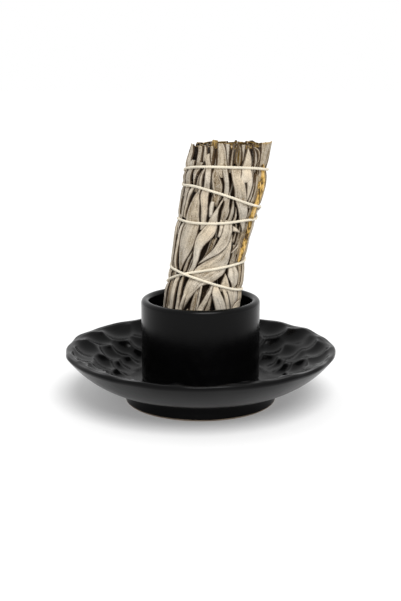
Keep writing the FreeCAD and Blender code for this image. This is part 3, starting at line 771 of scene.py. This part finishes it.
def back_leaves(rng):
    """The front's leaves again at the back, mirrored and each a little different."""
    leaves = []
    for leaf in FRONT_LEAVES:
        if abs(middle_angle(leaf)) > BACK_SPREAD:
            continue
        # the top is cut a little lower at the back
        shift = rng.uniform(-2.2, -1.4) if leaf.cut else rng.uniform(-2.0, 1.0)
        left, right = ([(180.0 - angle, height + shift) for angle, height in edge]
                       for edge in (leaf.right, leaf.left))
        leaves.append(leaf._replace(left=left, right=right, tone=leaf.tone + rng.uniform(-0.12, 0.12),
                                    layer=leaf.layer + rng.uniform(-0.1, 0.1), tilt=-leaf.tilt))
    return leaves


def base_radius(layer):
    """Radius at which the width of a leaf in this layer is measured."""
    return max(MEAN_RADIUS + layer, 2.0)


def along_route(route, width, layer, tone, fold, tilt, cut=False):
    """A leaf given by its midrib and greatest width in mm: a pointed lens, or part of one if it is cut."""
    share = np.linspace(0, 1, 9)
    angles, heights = (catmull(values, share) for values in zip(*route))
    base = base_radius(layer)
    way = np.stack([np.gradient(np.radians(angles) * base), np.gradient(heights)])
    way /= np.hypot(*way)
    kept = 0.6 if cut else 1.0
    lens = np.sin(np.pi * (0.02 + 0.96 * share * kept) ** 0.9) ** 0.8
    half = width / 2 * (0.03 + 0.97 * lens)
    edges = [tuple(zip(angles + side * np.degrees(half * way[1] / base), heights - side * half * way[0]))
             for side in (-1, 1)]
    return Leaf(*edges, layer, tone, fold, tilt, cut)


def under_leaves(rng):
    """A layer under the others, by chance, painted dark as the shade between the leaves above."""
    leaves = []
    for tier, height in enumerate(UNDER_TIERS):
        for k in range(UNDER_COUNT):
            angle = 360.0 / UNDER_COUNT * (k + tier % 2 / 2) + rng.uniform(-5, 5)
            half = rng.uniform(12, 16)
            lean = rng.uniform(-8, 8)
            route = ((angle - lean, height - half), (angle + lean, height + half))
            # painted shade: the under layer's low tone darkens the gaps between the leaves above
            leaves.append(along_route(route, width=rng.uniform(6, 9), layer=rng.uniform(-3.0, -2.0),
                                      tone=rng.uniform(0.0, 0.12), fold=rng.uniform(0.05, 0.3),
                                      tilt=rng.uniform(-0.2, 0.2)))
    return leaves


def foot_and_side_leaves(rng):
    """Leaves of the outer layer, by chance: round the foot and where the front meets the back."""
    leaves = []
    for k in range(FOOT_COUNT):
        leaves.append(outer_leaf(rng, FOOT_STEP * k + rng.uniform(-3, 3), 10 + rng.uniform(-2, 2)))
    for k in range(SIDE_COUNT):
        angle = rng.choice(SIDES) + rng.uniform(-14, 14)
        leaves.append(outer_leaf(rng, angle, rng.uniform(20, 84)))
    return leaves


def crown_leaves(rng):
    """Rings of cut leaves that fill the top, by chance."""
    leaves = []
    for ring, layer in enumerate(TOP_RINGS):
        count = 17 - 2 * ring
        light = SHADED_TONE if ring < SHADED_RINGS else 1.0
        for k in range(count):
            angle = 360.0 / count * (k + ring / 3) + rng.uniform(-6, 6)
            route = ((angle, 78), (angle + rng.uniform(-14, 14), BUNDLE_TOP - 0.6 - 0.3 * ring))
            leaves.append(along_route(route, width=rng.uniform(4, 8), layer=layer + rng.uniform(-0.6, 0.6),
                                      tone=rng.uniform(0.05, 0.5) * light, fold=rng.uniform(-0.1, 0.4),
                                      tilt=rng.uniform(-0.4, 0.4), cut=True))
    return leaves


def outer_leaf(rng, angle, height):
    """A leaf of the outer layer by chance."""
    half = rng.uniform(12, 19)
    lean = rng.uniform(-16, 16)
    bend = rng.uniform(-6, 6)
    foot, tip = max(height - half, 1.0), min(height + half, BUNDLE_TOP - 4)
    route = ((angle - lean, foot), (angle + bend, height), (angle + lean, tip))
    return along_route(route, width=rng.uniform(3.6, 7.6), layer=rng.uniform(0.0, 1.0),
                       tone=rng.uniform(0.3, 0.85), fold=rng.uniform(0.05, 0.4),
                       tilt=rng.uniform(-0.14, 0.14))


def leaf_lift(leaf, across, along, width, roll, ripple, phase):
    """How far a leaf stands out from the bundle's surface before anything presses it."""
    # the foot tucks under the leaves beside it, and so does a tip
    ends = 1 - along if leaf.cut else np.abs(2 * along - 1)
    ridge = np.minimum(FOLD_STEEP * leaf.fold * width, FOLD_MOST)
    lift = leaf.layer - TUCK * ends ** 6 + ridge * (1 - 2 * np.abs(across))
    lift += TILT_STEEP * leaf.tilt * width * across - roll * np.abs(2 * across) ** 3
    return lift + ripple * np.sin(2 * np.pi * RIPPLES * along + phase) * (0.3 + np.abs(across))


def pressed(lift, share):
    """The same lift with what stands out from the surface pressed in by a share."""
    return np.where(lift > 0, lift * (1 - share), lift)


def lay_leaf(shape, leaf, rng):
    """Places and attributes of a flat leaf laid on the bundle. The shape's rows are (across, along, face)."""
    across, along, face = shape.T
    base = base_radius(leaf.layer)
    waves = rng.uniform(0.0, 0.25), rng.uniform(0.03, 0.16), rng.uniform(0, 6.3)
    (left_angle, left_height), (right_angle, right_height) = (
        [catmull(values, along) for values in zip(*edge)] for edge in (leaf.left, leaf.right))
    angle = left_angle + (right_angle - left_angle) * (across + 0.5)
    height = left_height + (right_height - left_height) * (across + 0.5)
    if leaf.cut:
        # the top is cut off level, though the bundle leans
        level = base * np.sin(np.radians(angle)) * math.tan(LEAN) + rng.uniform(-0.6, 0.3)
        height = height + along ** 4 * level
    width = np.hypot(np.radians(right_angle - left_angle) * base, right_height - left_height)
    gap = gap_to_thread(angle, height)
    lift = leaf_lift(leaf, across, along, width, *waves)
    # leaves lie flatter at the bundle's sides, and under the thread
    lift = pressed(lift, SIDE_PRESS * np.sin(np.radians(angle)) ** 6)
    lift = pressed(lift, THREAD_PRESS * near(gap, THREAD_PRESS_REACH))
    thickness = bpy.context.scene.burner_bundle.leaf_thickness / MM
    radius = np.maximum(bundle_radius(angle, height) + lift + face * thickness, 0.3)
    turn, rise = (leaf.left[-1][k] - leaf.left[0][k] for k in (0, 1))
    long = math.hypot(math.radians(turn) * base, rise)
    blade = np.stack([across * width, along * long, np.full(len(shape), rng.uniform(0, 900))], axis=1)
    # painted shade: a leaf's tone falls deep in the bundle and beside the thread; below, it also falls near
    # the cut top
    tone = leaf.tone - DEEP_SHADE * fade(0.3 - lift, 0, 1.5) - THREAD_SHADE * near(gap, 1.2)
    tone -= TOP_DARKENING * fade(height, 92, 6)
    gold = np.clip(CUT_GOLD * leaf.cut * fade(along, 0.955, 0.03) + leaf.gold, 0, 1)
    # distance from the nearer margin, in mm
    margin = (0.5 - np.abs(across)) * width - TOP_MARGIN * fade(height, 86, 8)
    return in_room(angle, height, radius), {"tone": tone, "margin": margin, "gold": gold, "blade": blade}


def flat_leaf():
    """One flat leaf, modelled once: a grid a unit wide and long, given two faces and a rim."""
    deselect()
    bpy.ops.mesh.primitive_grid_add(x_subdivisions=8, y_subdivisions=20, size=1)
    leaf = bpy.context.object
    bpy.ops.object.mode_set(mode="EDIT")
    bpy.ops.mesh.select_all(action="SELECT")
    bpy.ops.transform.translate(value=(0, 0.5, 0))
    bpy.ops.object.mode_set(mode="OBJECT")
    wall = leaf.modifiers.new("thickness", "SOLIDIFY")
    wall.thickness = 1
    wall.offset = 1
    bpy.ops.object.modifier_apply(modifier=wall.name)
    bpy.ops.object.shade_smooth_by_angle(angle=math.radians(60))
    return leaf


def copy_of(obj, name):
    copy = obj.copy()
    copy.data = obj.data.copy()
    copy.name = copy.data.name = name
    bpy.context.scene.collection.objects.link(copy)
    return copy


def sprig_of(leaf):
    """Number of the sprig whose share of the bundle a leaf lies in."""
    return int(round(middle_angle(leaf) / (360 / SPRIGS))) % SPRIGS + 1


def joined(name, objects):
    """One object made of several."""
    pick(*objects)
    bpy.ops.object.join()
    piece = bpy.context.object
    piece.name = piece.data.name = name
    return piece


# Thread


def thread_route():
    """Control points of the thread, in metres: close round the leaves, and over itself where it crosses."""
    radius = bpy.context.scene.burner_bundle.thread_radius / MM
    points = []
    for i in range(THREAD_TURNS * POINTS_A_TURN + 1):
        turned = 360.0 / POINTS_A_TURN * i
        height = float(thread_height(turned))
        angle = (THREAD_START + turned + 180) % 360 - 180
        # on the way down it lies over the turns that it made on the way up
        earlier = [turned - 360.0 * k for k in range(1, THREAD_TURNS) if turned > THREAD_TOP]
        gaps = [abs(height - float(thread_height(t))) for t in earlier if 0 <= t <= THREAD_TOP]
        over = 2 * radius * near(min(gaps, default=NO_CROSSING), CROSSING_REACH)
        if TWIG_ROUTE[0][1] < height < BUNDLE_TOP:
            over += TWIG_RISE * near(angle - TWIG_ANGLE, TWIG_REACH)
        points.append(in_room(angle, height, bundle_radius(angle, height) + GROOVE_DEPTH + radius + over))
    return points


def new_curve(name, kind, points):
    """An open curve through or near these points."""
    curve = bpy.data.curves.new(name, "CURVE")
    curve.dimensions = "3D"
    spline = curve.splines.new(kind)
    spline.points.add(len(points) - 1)
    spline.points.foreach_set("co", np.column_stack([points, np.ones(len(points))]).ravel())
    obj = bpy.data.objects.new(name, curve)
    bpy.context.scene.collection.objects.link(obj)
    return obj


def nurbs(name, points):
    """A smooth open curve with these control points."""
    obj = new_curve(name, "NURBS", points)
    spline = obj.data.splines[0]
    spline.order_u = 3
    spline.use_endpoint_u = True
    spline.resolution_u = 8
    return obj


def line_of(obj):
    """Points along a curve that has no thickness yet."""
    mesh = bpy.data.meshes.new_from_object(obj.evaluated_get(bpy.context.evaluated_depsgraph_get()))
    points = np.array([v.co for v in mesh.vertices])
    bpy.data.meshes.remove(mesh)
    return points


def evenly(points, step):
    """The same line with its points a step apart."""
    lengths = np.concatenate([[0], np.cumsum(np.linalg.norm(np.diff(points, axis=0), axis=1))])
    where = np.linspace(0, lengths[-1], max(int(lengths[-1] / step), 8) + 1)
    return np.stack([np.interp(where, lengths, points[:, k]) for k in range(3)], axis=1), where


def plies(name, points, radius, lay, count=3):
    """A twisted thread along a line: plies that wind round it once in each lay length, as one mesh."""
    line, where = evenly(points, lay / 9)
    way = np.gradient(line, axis=0)
    way /= np.linalg.norm(way, axis=1)[:, None]
    # any direction that the thread never takes
    side = np.cross(way, (0.31, 0.17, 0.93))
    side /= np.linalg.norm(side, axis=1)[:, None]
    up = np.cross(side, way)
    ply_offset, ply_radius = 0.48 * radius, 0.56 * radius
    strands = []
    for k in range(count):
        turn = 2 * math.pi * (where / lay + k / count)
        ply = line + ply_offset * (np.cos(turn)[:, None] * side + np.sin(turn)[:, None] * up)
        strand = new_curve(name, "POLY", ply)
        strand.data.bevel_depth = ply_radius
        strand.data.bevel_resolution = 1
        strand.data.use_fill_caps = True
        strands.append(strand)
    pick(*strands)
    bpy.ops.object.convert(target="MESH")
    piece = joined(name, strands)
    bpy.ops.object.shade_smooth()
    return piece


# Operators


class BURNER_OT_stage(bpy.types.Operator):
    """Floor, light and camera, as for a plain studio photograph"""
    bl_idname = "burner.stage"
    bl_label = "Stage"

    # greys of the paper and the sky for the light that falls on the object; both are white to the eye
    PAPER_GREY = 0.8
    SKY_GREY = 0.62
    # share of the paper's white that is its own glow
    GLOW_SHARE = 0.2
    FLOOR_SIZE = 8.0
    SUN_STRENGTH = 2.3
    SUN_BREADTH = math.radians(36)
    SUN_WAY = (-0.16, 0.58, -0.80)
    # the camera, fitted to the photo: lens and sensor in mm, place in metres, dip below level in degrees
    LENS = 63.8
    SENSOR_WIDTH = 36.0
    CAMERA_PLACE = (0.0, -0.460, 0.151)
    CAMERA_DIP = 13.01

    def execute(self, context):
        self.make_floor()
        self.make_light(context.scene)
        self.make_camera(context.scene)
        context.scene.view_settings.view_transform = "Standard"
        return {"FINISHED"}

    def make_floor(self):
        deselect()
        bpy.ops.mesh.primitive_plane_add(size=self.FLOOR_SIZE)
        floor = bpy.context.object
        floor.name = "floor"
        material = bpy.data.materials.new("floor_paper")
        material.use_nodes = True
        tree = material.node_tree
        tree.nodes.clear()
        white = white_rays(tree)
        paper = add_node(tree, "ShaderNodeBsdfDiffuse")
        tree.links.new(mixed(tree, white, grey(self.PAPER_GREY), grey(1.0)), paper.inputs["Color"])
        glow = add_node(tree, "ShaderNodeEmission", Strength=1.0)
        blend = tree.nodes.new("ShaderNodeMixShader")
        tree.links.new(times(tree, white, self.GLOW_SHARE), blend.inputs[0])
        tree.links.new(paper.outputs[0], blend.inputs[1])
        tree.links.new(glow.outputs[0], blend.inputs[2])
        tree.links.new(blend.outputs[0], tree.nodes.new("ShaderNodeOutputMaterial").inputs["Surface"])
        floor.data.materials.append(material)

    def make_light(self, scene):
        world = bpy.data.worlds.new("studio")
        scene.world = world
        world.use_nodes = True
        tree = world.node_tree
        tree.nodes.clear()
        sky = add_node(tree, "ShaderNodeBackground")
        tree.links.new(mixed(tree, white_rays(tree), grey(self.SKY_GREY), grey(1.0)), sky.inputs["Color"])
        tree.links.new(sky.outputs[0], tree.nodes.new("ShaderNodeOutputWorld").inputs["Surface"])
        lamp = bpy.data.lights.new("softbox", "SUN")
        lamp.energy = self.SUN_STRENGTH
        lamp.angle = self.SUN_BREADTH
        softbox = bpy.data.objects.new("softbox", lamp)
        scene.collection.objects.link(softbox)
        softbox.rotation_euler = Vector(self.SUN_WAY).to_track_quat("-Z", "Y").to_euler()

    def make_camera(self, scene):
        camera = bpy.data.cameras.new("camera")
        camera.lens = self.LENS
        camera.sensor_width = self.SENSOR_WIDTH
        camera.clip_start = 0.01
        obj = bpy.data.objects.new("camera", camera)
        scene.collection.objects.link(obj)
        obj.location = self.CAMERA_PLACE
        obj.rotation_euler = (math.radians(90.0 - self.CAMERA_DIP), 0, 0)
        scene.camera = obj


class BURNER_OT_dish(bpy.types.Operator):
    """The dish: spun on its foot ring, then hammered"""
    bl_idname = "burner.dish"
    bl_label = "Dish"

    SPIN_STEPS = 448
    CLAY_BELOW = 0.9 * MM
    GLOSS = 0.1
    # the foot ring's rounded corners, and how far its outside spreads and hollows toward its top
    CORNER = 0.7 * MM
    FOOT_SPREAD = 0.6 * MM
    FOOT_HOLLOW = 0.4 * MM
    # how far hammer marks stray from even places, as shares of the spacing, and how they differ
    STRAY_ROUND = 0.22
    STRAY_UP = 0.16
    SIZES = (0.9, 1.12)
    SKEW = 0.15
    # reach of a mark round and up the wall, as shares of the spacing, and the ridges' sharpness
    REACH_ROUND = 0.66
    REACH_UP = 0.74
    CRISPNESS = 3.4
    # share of a mark's depth at which the wall keeps its place
    LEVEL = 0.45
    # the rim's waves: how many go round, and how far they move it up and outward
    WAVES = (9, 13, 17, 22)
    WAVE_RISE = 0.35 * MM
    WAVE_SPREAD = 0.009

    def execute(self, context):
        settings = context.scene.burner_dish
        radius, height = DISH_HIGH.x, DISH_HIGH.z
        lip = settings.lip
        outer = (radius - lip, height - lip)
        centre = (outer[0] - settings.lip_flat, outer[1])
        run, rise = centre[0] - settings.floor_radius, centre[1] - settings.floor_height
        slope = math.atan2(rise, run) + math.asin(lip / math.hypot(run, rise))
        corner, foot = self.CORNER, settings.foot_radius
        inner = foot - settings.foot_width
        profile = [(0.0, settings.recess)]
        line_on(profile, (inner - corner, settings.recess), 6)
        line_on(profile, (inner, settings.recess - corner), 2)
        line_on(profile, (inner, corner), 3)
        round_on(profile, (inner + corner, corner), corner, 180, 270, 4)
        line_on(profile, (foot - corner, 0.0), 4)
        round_on(profile, (foot - corner, corner), corner, 270, 360, 4)
        bulge_on(profile, (foot + self.FOOT_SPREAD, settings.foot_height), -self.FOOT_HOLLOW, 5)
        bulge_on(profile, (radius, outer[1]), settings.underside_bulge, 22)
        round_on(profile, outer, lip, 0, 90, 7)
        line_on(profile, (centre[0], height), 3)
        round_on(profile, centre, lip, 90, 90 + math.degrees(slope), 5)
        wall_top = profile[-1]
        line_on(profile, (settings.floor_radius, settings.floor_height), 46)
        line_on(profile, (0.0, settings.floor_height), 14)
        dish = spun("dish_hammered", profile, self.SPIN_STEPS)
        self.hammer(dish, settings, wall_top, slope)
        glaze = glaze_material("dish_glaze", self.CLAY_BELOW, self.GLOSS)
        finish_piece(dish, "dish", glaze, ["dish"])
        return {"FINISHED"}

    def hollows(self, settings, rng, radius, angle, up, run, slope):
        """Depth of the hammer marks, as a share: rings of uneven round hollows that meet in ridges."""
        pitch = run / settings.rings
        step = 2 * math.pi / settings.dimples
        total = np.zeros(len(angle))
        for ring in range(settings.rings + 1):
            for k in range(settings.dimples):
                at = step * (k + ring % 2 / 2 + rng.uniform(-self.STRAY_ROUND, self.STRAY_ROUND))
                middle = pitch * (ring + 0.45 + rng.uniform(-self.STRAY_UP, self.STRAY_UP))
                size = rng.uniform(*self.SIZES)
                skew = rng.uniform(-self.SKEW, self.SKEW)
                turned = np.angle(np.exp(1j * (angle - at)))
                breadth = self.REACH_ROUND * step * (settings.floor_radius + middle * math.cos(slope))
                wide = turned * radius / breadth
                tall = (up - middle + skew * turned * radius) / (self.REACH_UP * pitch)
                bowl = np.clip(1 - (wide ** 2 + tall ** 2) / size ** 2, 0, 1)
                total += (size * bowl) ** self.CRISPNESS
        return total ** (1 / self.CRISPNESS)

    def hammer(self, dish, settings, wall_top, slope):
        """Sinks the hammer marks into the sloping wall and lets the rim waver."""
        rng = random.Random(SEED)
        co = vertices(dish)
        radius = np.hypot(co[:, 0], co[:, 1])
        angle = np.arctan2(co[:, 1], co[:, 0])
        out, high = radius - settings.floor_radius, co[:, 2] - settings.floor_height
        up = out * math.cos(slope) + high * math.sin(slope)
        above = high * math.cos(slope) - out * math.sin(slope)
        run = (wall_top[0] - settings.floor_radius) / math.cos(slope)
        hollow = self.hollows(settings, rng, radius, angle, up, run, slope)
        # the marks fade out at the floor and at the rim, and don't reach through to the underside
        share = fade(up, -0.5 * MM, 6.0 * MM) * fade(run - up, -1.8 * settings.lip, 3.2 * settings.lip)
        share *= fade(above, -1.92 * MM, 1.2 * MM)
        shift = (self.LEVEL - hollow) * settings.depth * share
        inward = -math.sin(slope) / np.maximum(radius, 1e-6)
        toward = np.stack([inward * co[:, 0], inward * co[:, 1], np.full(len(co), math.cos(slope))], axis=1)
        co = co + toward * shift[:, None]
        wave = sum(np.sin(n * angle + rng.uniform(0, 6.3)) for n in self.WAVES) / len(self.WAVES)
        near_rim = fade(co[:, 2], 0.6 * DISH_HIGH.z, 0.4 * DISH_HIGH.z) ** 2
        co[:, 2] += self.WAVE_RISE * wave * near_rim
        co[:, :2] *= (1 + self.WAVE_SPREAD * wave * near_rim)[:, None]
        move_vertices(dish, co)


class BURNER_OT_cup(bpy.types.Operator):
    """The holder cup, spun with a fully rounded lip"""
    bl_idname = "burner.cup"
    bl_label = "Cup"

    SPIN_STEPS = 192
    CLAY_BELOW = CUP_LOW.z + 0.3 * MM
    GLOSS = 0.11

    def execute(self, context):
        settings = context.scene.burner_cup
        wall, base, recess, bend = settings.wall, settings.base, settings.recess, settings.inner_round
        radius, low, floor = CUP_HIGH.x, CUP_LOW.z, BUNDLE_Z * MM
        inside, hollow = radius - wall, radius - base - settings.ring
        lip = (radius - wall / 2, CUP_HIGH.z - wall / 2)
        profile = [(0.0, low + recess)]
        line_on(profile, (hollow, low + recess), 5)
        line_on(profile, (hollow + recess / 2, low), 2)
        line_on(profile, (radius - base, low), 4)
        round_on(profile, (radius - base, low + base), base, 270, 360, 6)
        line_on(profile, (radius, lip[1]), 22)
        round_on(profile, lip, wall / 2, 0, 180, 16)
        line_on(profile, (inside, floor + bend), 14)
        round_on(profile, (inside - bend, floor + bend), bend, 360, 270, 6)
        line_on(profile, (0.0, floor), 8)
        cup = spun("cup_glazed", profile, self.SPIN_STEPS)
        glaze = glaze_material("cup_glaze", self.CLAY_BELOW, self.GLOSS)
        finish_piece(cup, "cup", glaze, ["holder_cup"])
        return {"FINISHED"}


class BURNER_OT_core(bpy.types.Operator):
    """The core of pressed leaves, painted dark as the shade deep in the bundle"""
    bl_idname = "burner.core"
    bl_label = "Pressed core"

    # how far it lies under the leaves and below the cut top, in mm
    INSET = 2.2
    BELOW_TOP = 6.0

    def execute(self, context):
        core = ringed_cylinder(corners=48, levels=24, fill="TRIFAN")
        core.name = core.data.name = "pressed_core"
        co = vertices(core)
        turn = np.arctan2(co[:, 0], -co[:, 1])
        angle, height = np.degrees(turn), (co[:, 2] + 0.5) * (BUNDLE_TOP - self.BELOW_TOP)
        rough = 0.35 * np.sin(11 * turn + height / 6) + 0.25 * np.sin(23 * turn - height / 4)
        radius = np.hypot(co[:, 0], co[:, 1]) * (bundle_radius(angle, height) - self.INSET + rough)
        move_vertices(core, in_room(angle, height, radius))
        replaced = [f"sprig_{k}_pressed_leaves" for k in range(1, SPRIGS + 1)]
        finish_piece(core, "bundle", core_material(), replaced)
        return {"FINISHED"}


class BURNER_OT_stems(bpy.types.Operator):
    """The sprigs' stems, whose cut ends show at the top"""
    bl_idname = "burner.stems"
    bl_label = "Stems"

    # radius of the circle that they stand in, and of a stem, in mm
    CIRCLE = 7.6
    RADIUS = 1.5

    def execute(self, context):
        stem = ringed_cylinder(corners=14, levels=12, bevel=0.12)
        material = stem_material("sage_stem", brightness=0.8)
        rng = random.Random(SEED + 1)
        for k in range(SPRIGS):
            piece = copy_of(stem, f"sprig_{k + 1}_woody_stem")
            co = vertices(piece)
            turn = math.radians(360 / SPRIGS * k)
            height = (co[:, 2] + 0.5) * (BUNDLE_TOP - rng.uniform(0.5, 3.0)) + 0.5
            thick = self.RADIUS + 0.12 * np.sin(height / 5 + k)
            x = self.CIRCLE * math.sin(turn) + co[:, 0] * thick
            y = -self.CIRCLE * math.cos(turn) + co[:, 1] * thick
            move_vertices(piece, in_room(np.degrees(np.arctan2(x, -y)), height, np.hypot(x, y)))
            finish_piece(piece, "bundle", material, [f"sprig_{k + 1}_stem"])
        bpy.data.objects.remove(stem)
        return {"FINISHED"}


class BURNER_OT_leaves(bpy.types.Operator):
    """The sage leaves, gathered into one piece for each sprig"""
    bl_idname = "burner.leaves"
    bl_label = "Leaves"

    def execute(self, context):
        rng = random.Random(SEED + 2)
        flat = flat_leaf()
        shape = vertices(flat)
        sprigs = {k: [] for k in range(1, SPRIGS + 1)}
        leaves = [*FRONT_LEAVES, *back_leaves(rng), *under_leaves(rng), *foot_and_side_leaves(rng),
                  *crown_leaves(rng)]
        for number, leaf in enumerate(leaves):
            piece = copy_of(flat, f"leaf_{number}")
            places, attributes = lay_leaf(shape, leaf, rng)
            move_vertices(piece, places)
            for name, values in attributes.items():
                give_attribute(piece, name, values)
            sprigs[sprig_of(leaf)].append(piece)
        bpy.data.objects.remove(flat)
        material = leaf_material()
        for k, pieces in sprigs.items():
            sprig = joined(f"sprig_{k}_leaves", pieces)
            own = [node for node in frame["nodes"] if node.startswith(f"sprig_{k}_")]
            replaced = [node for node in own if "_leaf_" in node]
            finish_piece(sprig, "bundle", material, replaced)
        return {"FINISHED"}


class BURNER_OT_twig(bpy.types.Operator):
    """The golden twig on the right of the bundle"""
    bl_idname = "burner.twig"
    bl_label = "Twig"

    # its greatest radius, the share of that at each point of its route, and how far out it lies, in mm
    RADIUS = 1.35 * MM
    THICKNESS = (0.3, 0.8, 0.85, 0.6, 0.7, 0.8, 0.8, 0.95, 0.9, 0.4)
    SEAT = 0.75
    # waves that make its bark knobbly, and the way that they push it
    KNOB_WAVES = ((1900.0, 700.0, 2300.0), (-900.0, 2600.0, 1500.0), (700.0, -1500.0, 3900.0))
    KNOB_HEIGHT = 0.1 * MM
    KNOB_WAY = (0.6, -0.6, 0.3)
    # bracts, and the shares of its length near which they grow
    BRACTS = 16
    BRACT_PLACES = (0.15, 0.25, 0.7, 0.8, 0.85)

    def execute(self, context):
        angles, heights = (np.array(values, float) for values in zip(*TWIG_ROUTE))
        twig = joined("golden_twig", [self.make_wood(angles, heights), *self.make_bracts(angles, heights)])
        bpy.ops.object.shade_smooth()
        material = stem_material("golden_twig", brightness=1.3)
        finish_piece(twig, "bundle", material, ["outer_twig"])
        return {"FINISHED"}

    def make_wood(self, angles, heights):
        wood = nurbs("golden_twig", in_room(angles, heights, bundle_radius(angles, heights) + self.SEAT))
        wood.data.bevel_depth = self.RADIUS
        wood.data.bevel_resolution = 3
        wood.data.use_fill_caps = True
        for control, thick in zip(wood.data.splines[0].points, self.THICKNESS):
            control.radius = thick
        pick(wood)
        bpy.ops.object.convert(target="MESH")
        co = vertices(wood)
        knobs = sum(np.sin(co @ np.array(wave) + k) for k, wave in enumerate(self.KNOB_WAVES))
        move_vertices(wood, co + self.KNOB_HEIGHT * knobs[:, None] * np.array(self.KNOB_WAY))
        return wood

    def make_bracts(self, angles, heights):
        rng = random.Random(SEED + 3)
        flat = flat_leaf()
        shape = vertices(flat)
        bracts = []
        for k in range(self.BRACTS):
            share = rng.choice(self.BRACT_PLACES) + rng.uniform(-0.05, 0.05)
            angle = float(catmull(angles, share)) + rng.uniform(-4, 4)
            height = float(catmull(heights, share))
            half = rng.uniform(1.2, 3.2)
            route = ((angle, height - half), (angle + rng.uniform(-7, 7), height + half))
            leaf = along_route(route, width=rng.uniform(0.7, 1.3), layer=rng.uniform(0.3, 0.9), tone=0.5,
                               fold=rng.uniform(0.1, 0.6), tilt=rng.uniform(-0.4, 0.4))
            bract = copy_of(flat, f"bract_{k}")
            places, _ = lay_leaf(shape, leaf, rng)
            move_vertices(bract, places)
            bracts.append(bract)
        bpy.data.objects.remove(flat)
        return bracts


class BURNER_OT_thread(bpy.types.Operator):
    """The cotton thread and its knot"""
    bl_idname = "burner.thread"
    bl_label = "Thread"

    # length in which the plies of the thread and of the knot go round once
    LAY = 3.4 * MM
    KNOT_LAY = 3.0 * MM
    # the knot is drawn tight: its thickness as a share of the thread's, and its size and depth in mm
    KNOT_THICKNESS = 0.9
    KNOT_SIZE = 0.7
    KNOT_DEPTH = 0.75
    # the knot's tails, as mm to the side, up and outward
    FIRST_TAIL = [(-3.6, -4.6, -0.6), (-2.6, -2.8, -0.3)]
    LAST_TAIL = [(2.4, -3.0, -0.3), (3.0, -5.4, -0.6)]

    def execute(self, context):
        radius = context.scene.burner_bundle.thread_radius
        material = cotton_material()
        thread = self.twist("cotton_thread", thread_route(), radius, self.LAY)
        finish_piece(thread, "bundle", material, ["thread"])
        knot = self.twist("cotton_knot", self.knot_route(), self.KNOT_THICKNESS * radius, self.KNOT_LAY)
        finish_piece(knot, "bundle", material, ["thread_knot"])
        return {"FINISHED"}

    def twist(self, name, points, radius, lay):
        """A twisted thread along a smooth route with these control points."""
        route = nurbs(f"{name}_route", points)
        thread = plies(name, line_of(route), radius, lay)
        bpy.data.objects.remove(route)
        return thread

    def knot_route(self):
        """A small overhand knot over the meeting ends, with two short tails."""
        height = THREAD_HEIGHTS[0]
        out = bundle_radius(THREAD_START, height) + 1.1
        turns = []
        for t in (2 * math.pi * i / 30 for i in range(2, 29)):
            turns.append((self.KNOT_SIZE * (math.sin(t) + 2 * math.sin(2 * t)),
                          self.KNOT_SIZE * (math.cos(t) - 2 * math.cos(2 * t)),
                          -self.KNOT_DEPTH * math.sin(3 * t)))
        return [in_room(THREAD_START + math.degrees(x / out), height + z, out + 0.4 + deep)
                for x, z, deep in self.FIRST_TAIL + turns + self.LAST_TAIL]


OPERATORS = (BURNER_OT_stage, BURNER_OT_dish, BURNER_OT_cup, BURNER_OT_core, BURNER_OT_stems,
             BURNER_OT_leaves, BURNER_OT_twig, BURNER_OT_thread)


class BURNER_PT_panel(bpy.types.Panel):
    """Sidebar panel that lists the pieces"""
    bl_label = "Incense burner"
    bl_idname = "BURNER_PT_panel"
    bl_space_type = "VIEW_3D"
    bl_region_type = "UI"
    bl_category = "Burner"

    def draw(self, context):
        for operator in OPERATORS:
            self.layout.operator(operator.bl_idname)


SETTINGS = {"burner_dish": DishSettings, "burner_cup": CupSettings, "burner_glaze": GlazeSettings,
            "burner_bundle": BundleSettings}


def register():
    for settings in SETTINGS.values():
        bpy.utils.register_class(settings)
    for name, settings in SETTINGS.items():
        setattr(bpy.types.Scene, name, PointerProperty(type=settings))
    for operator in OPERATORS:
        bpy.utils.register_class(operator)
    bpy.utils.register_class(BURNER_PT_panel)


def unregister():
    bpy.utils.unregister_class(BURNER_PT_panel)
    for operator in reversed(OPERATORS):
        bpy.utils.unregister_class(operator)
    for name, settings in SETTINGS.items():
        delattr(bpy.types.Scene, name)
        bpy.utils.unregister_class(settings)


def main():
    register()
    bpy.ops.burner.stage()
    bpy.ops.burner.dish()
    bpy.ops.burner.cup()
    bpy.ops.burner.core()
    bpy.ops.burner.stems()
    bpy.ops.burner.leaves()
    bpy.ops.burner.twig()
    bpy.ops.burner.thread()


if __name__ == "__main__":
    main()
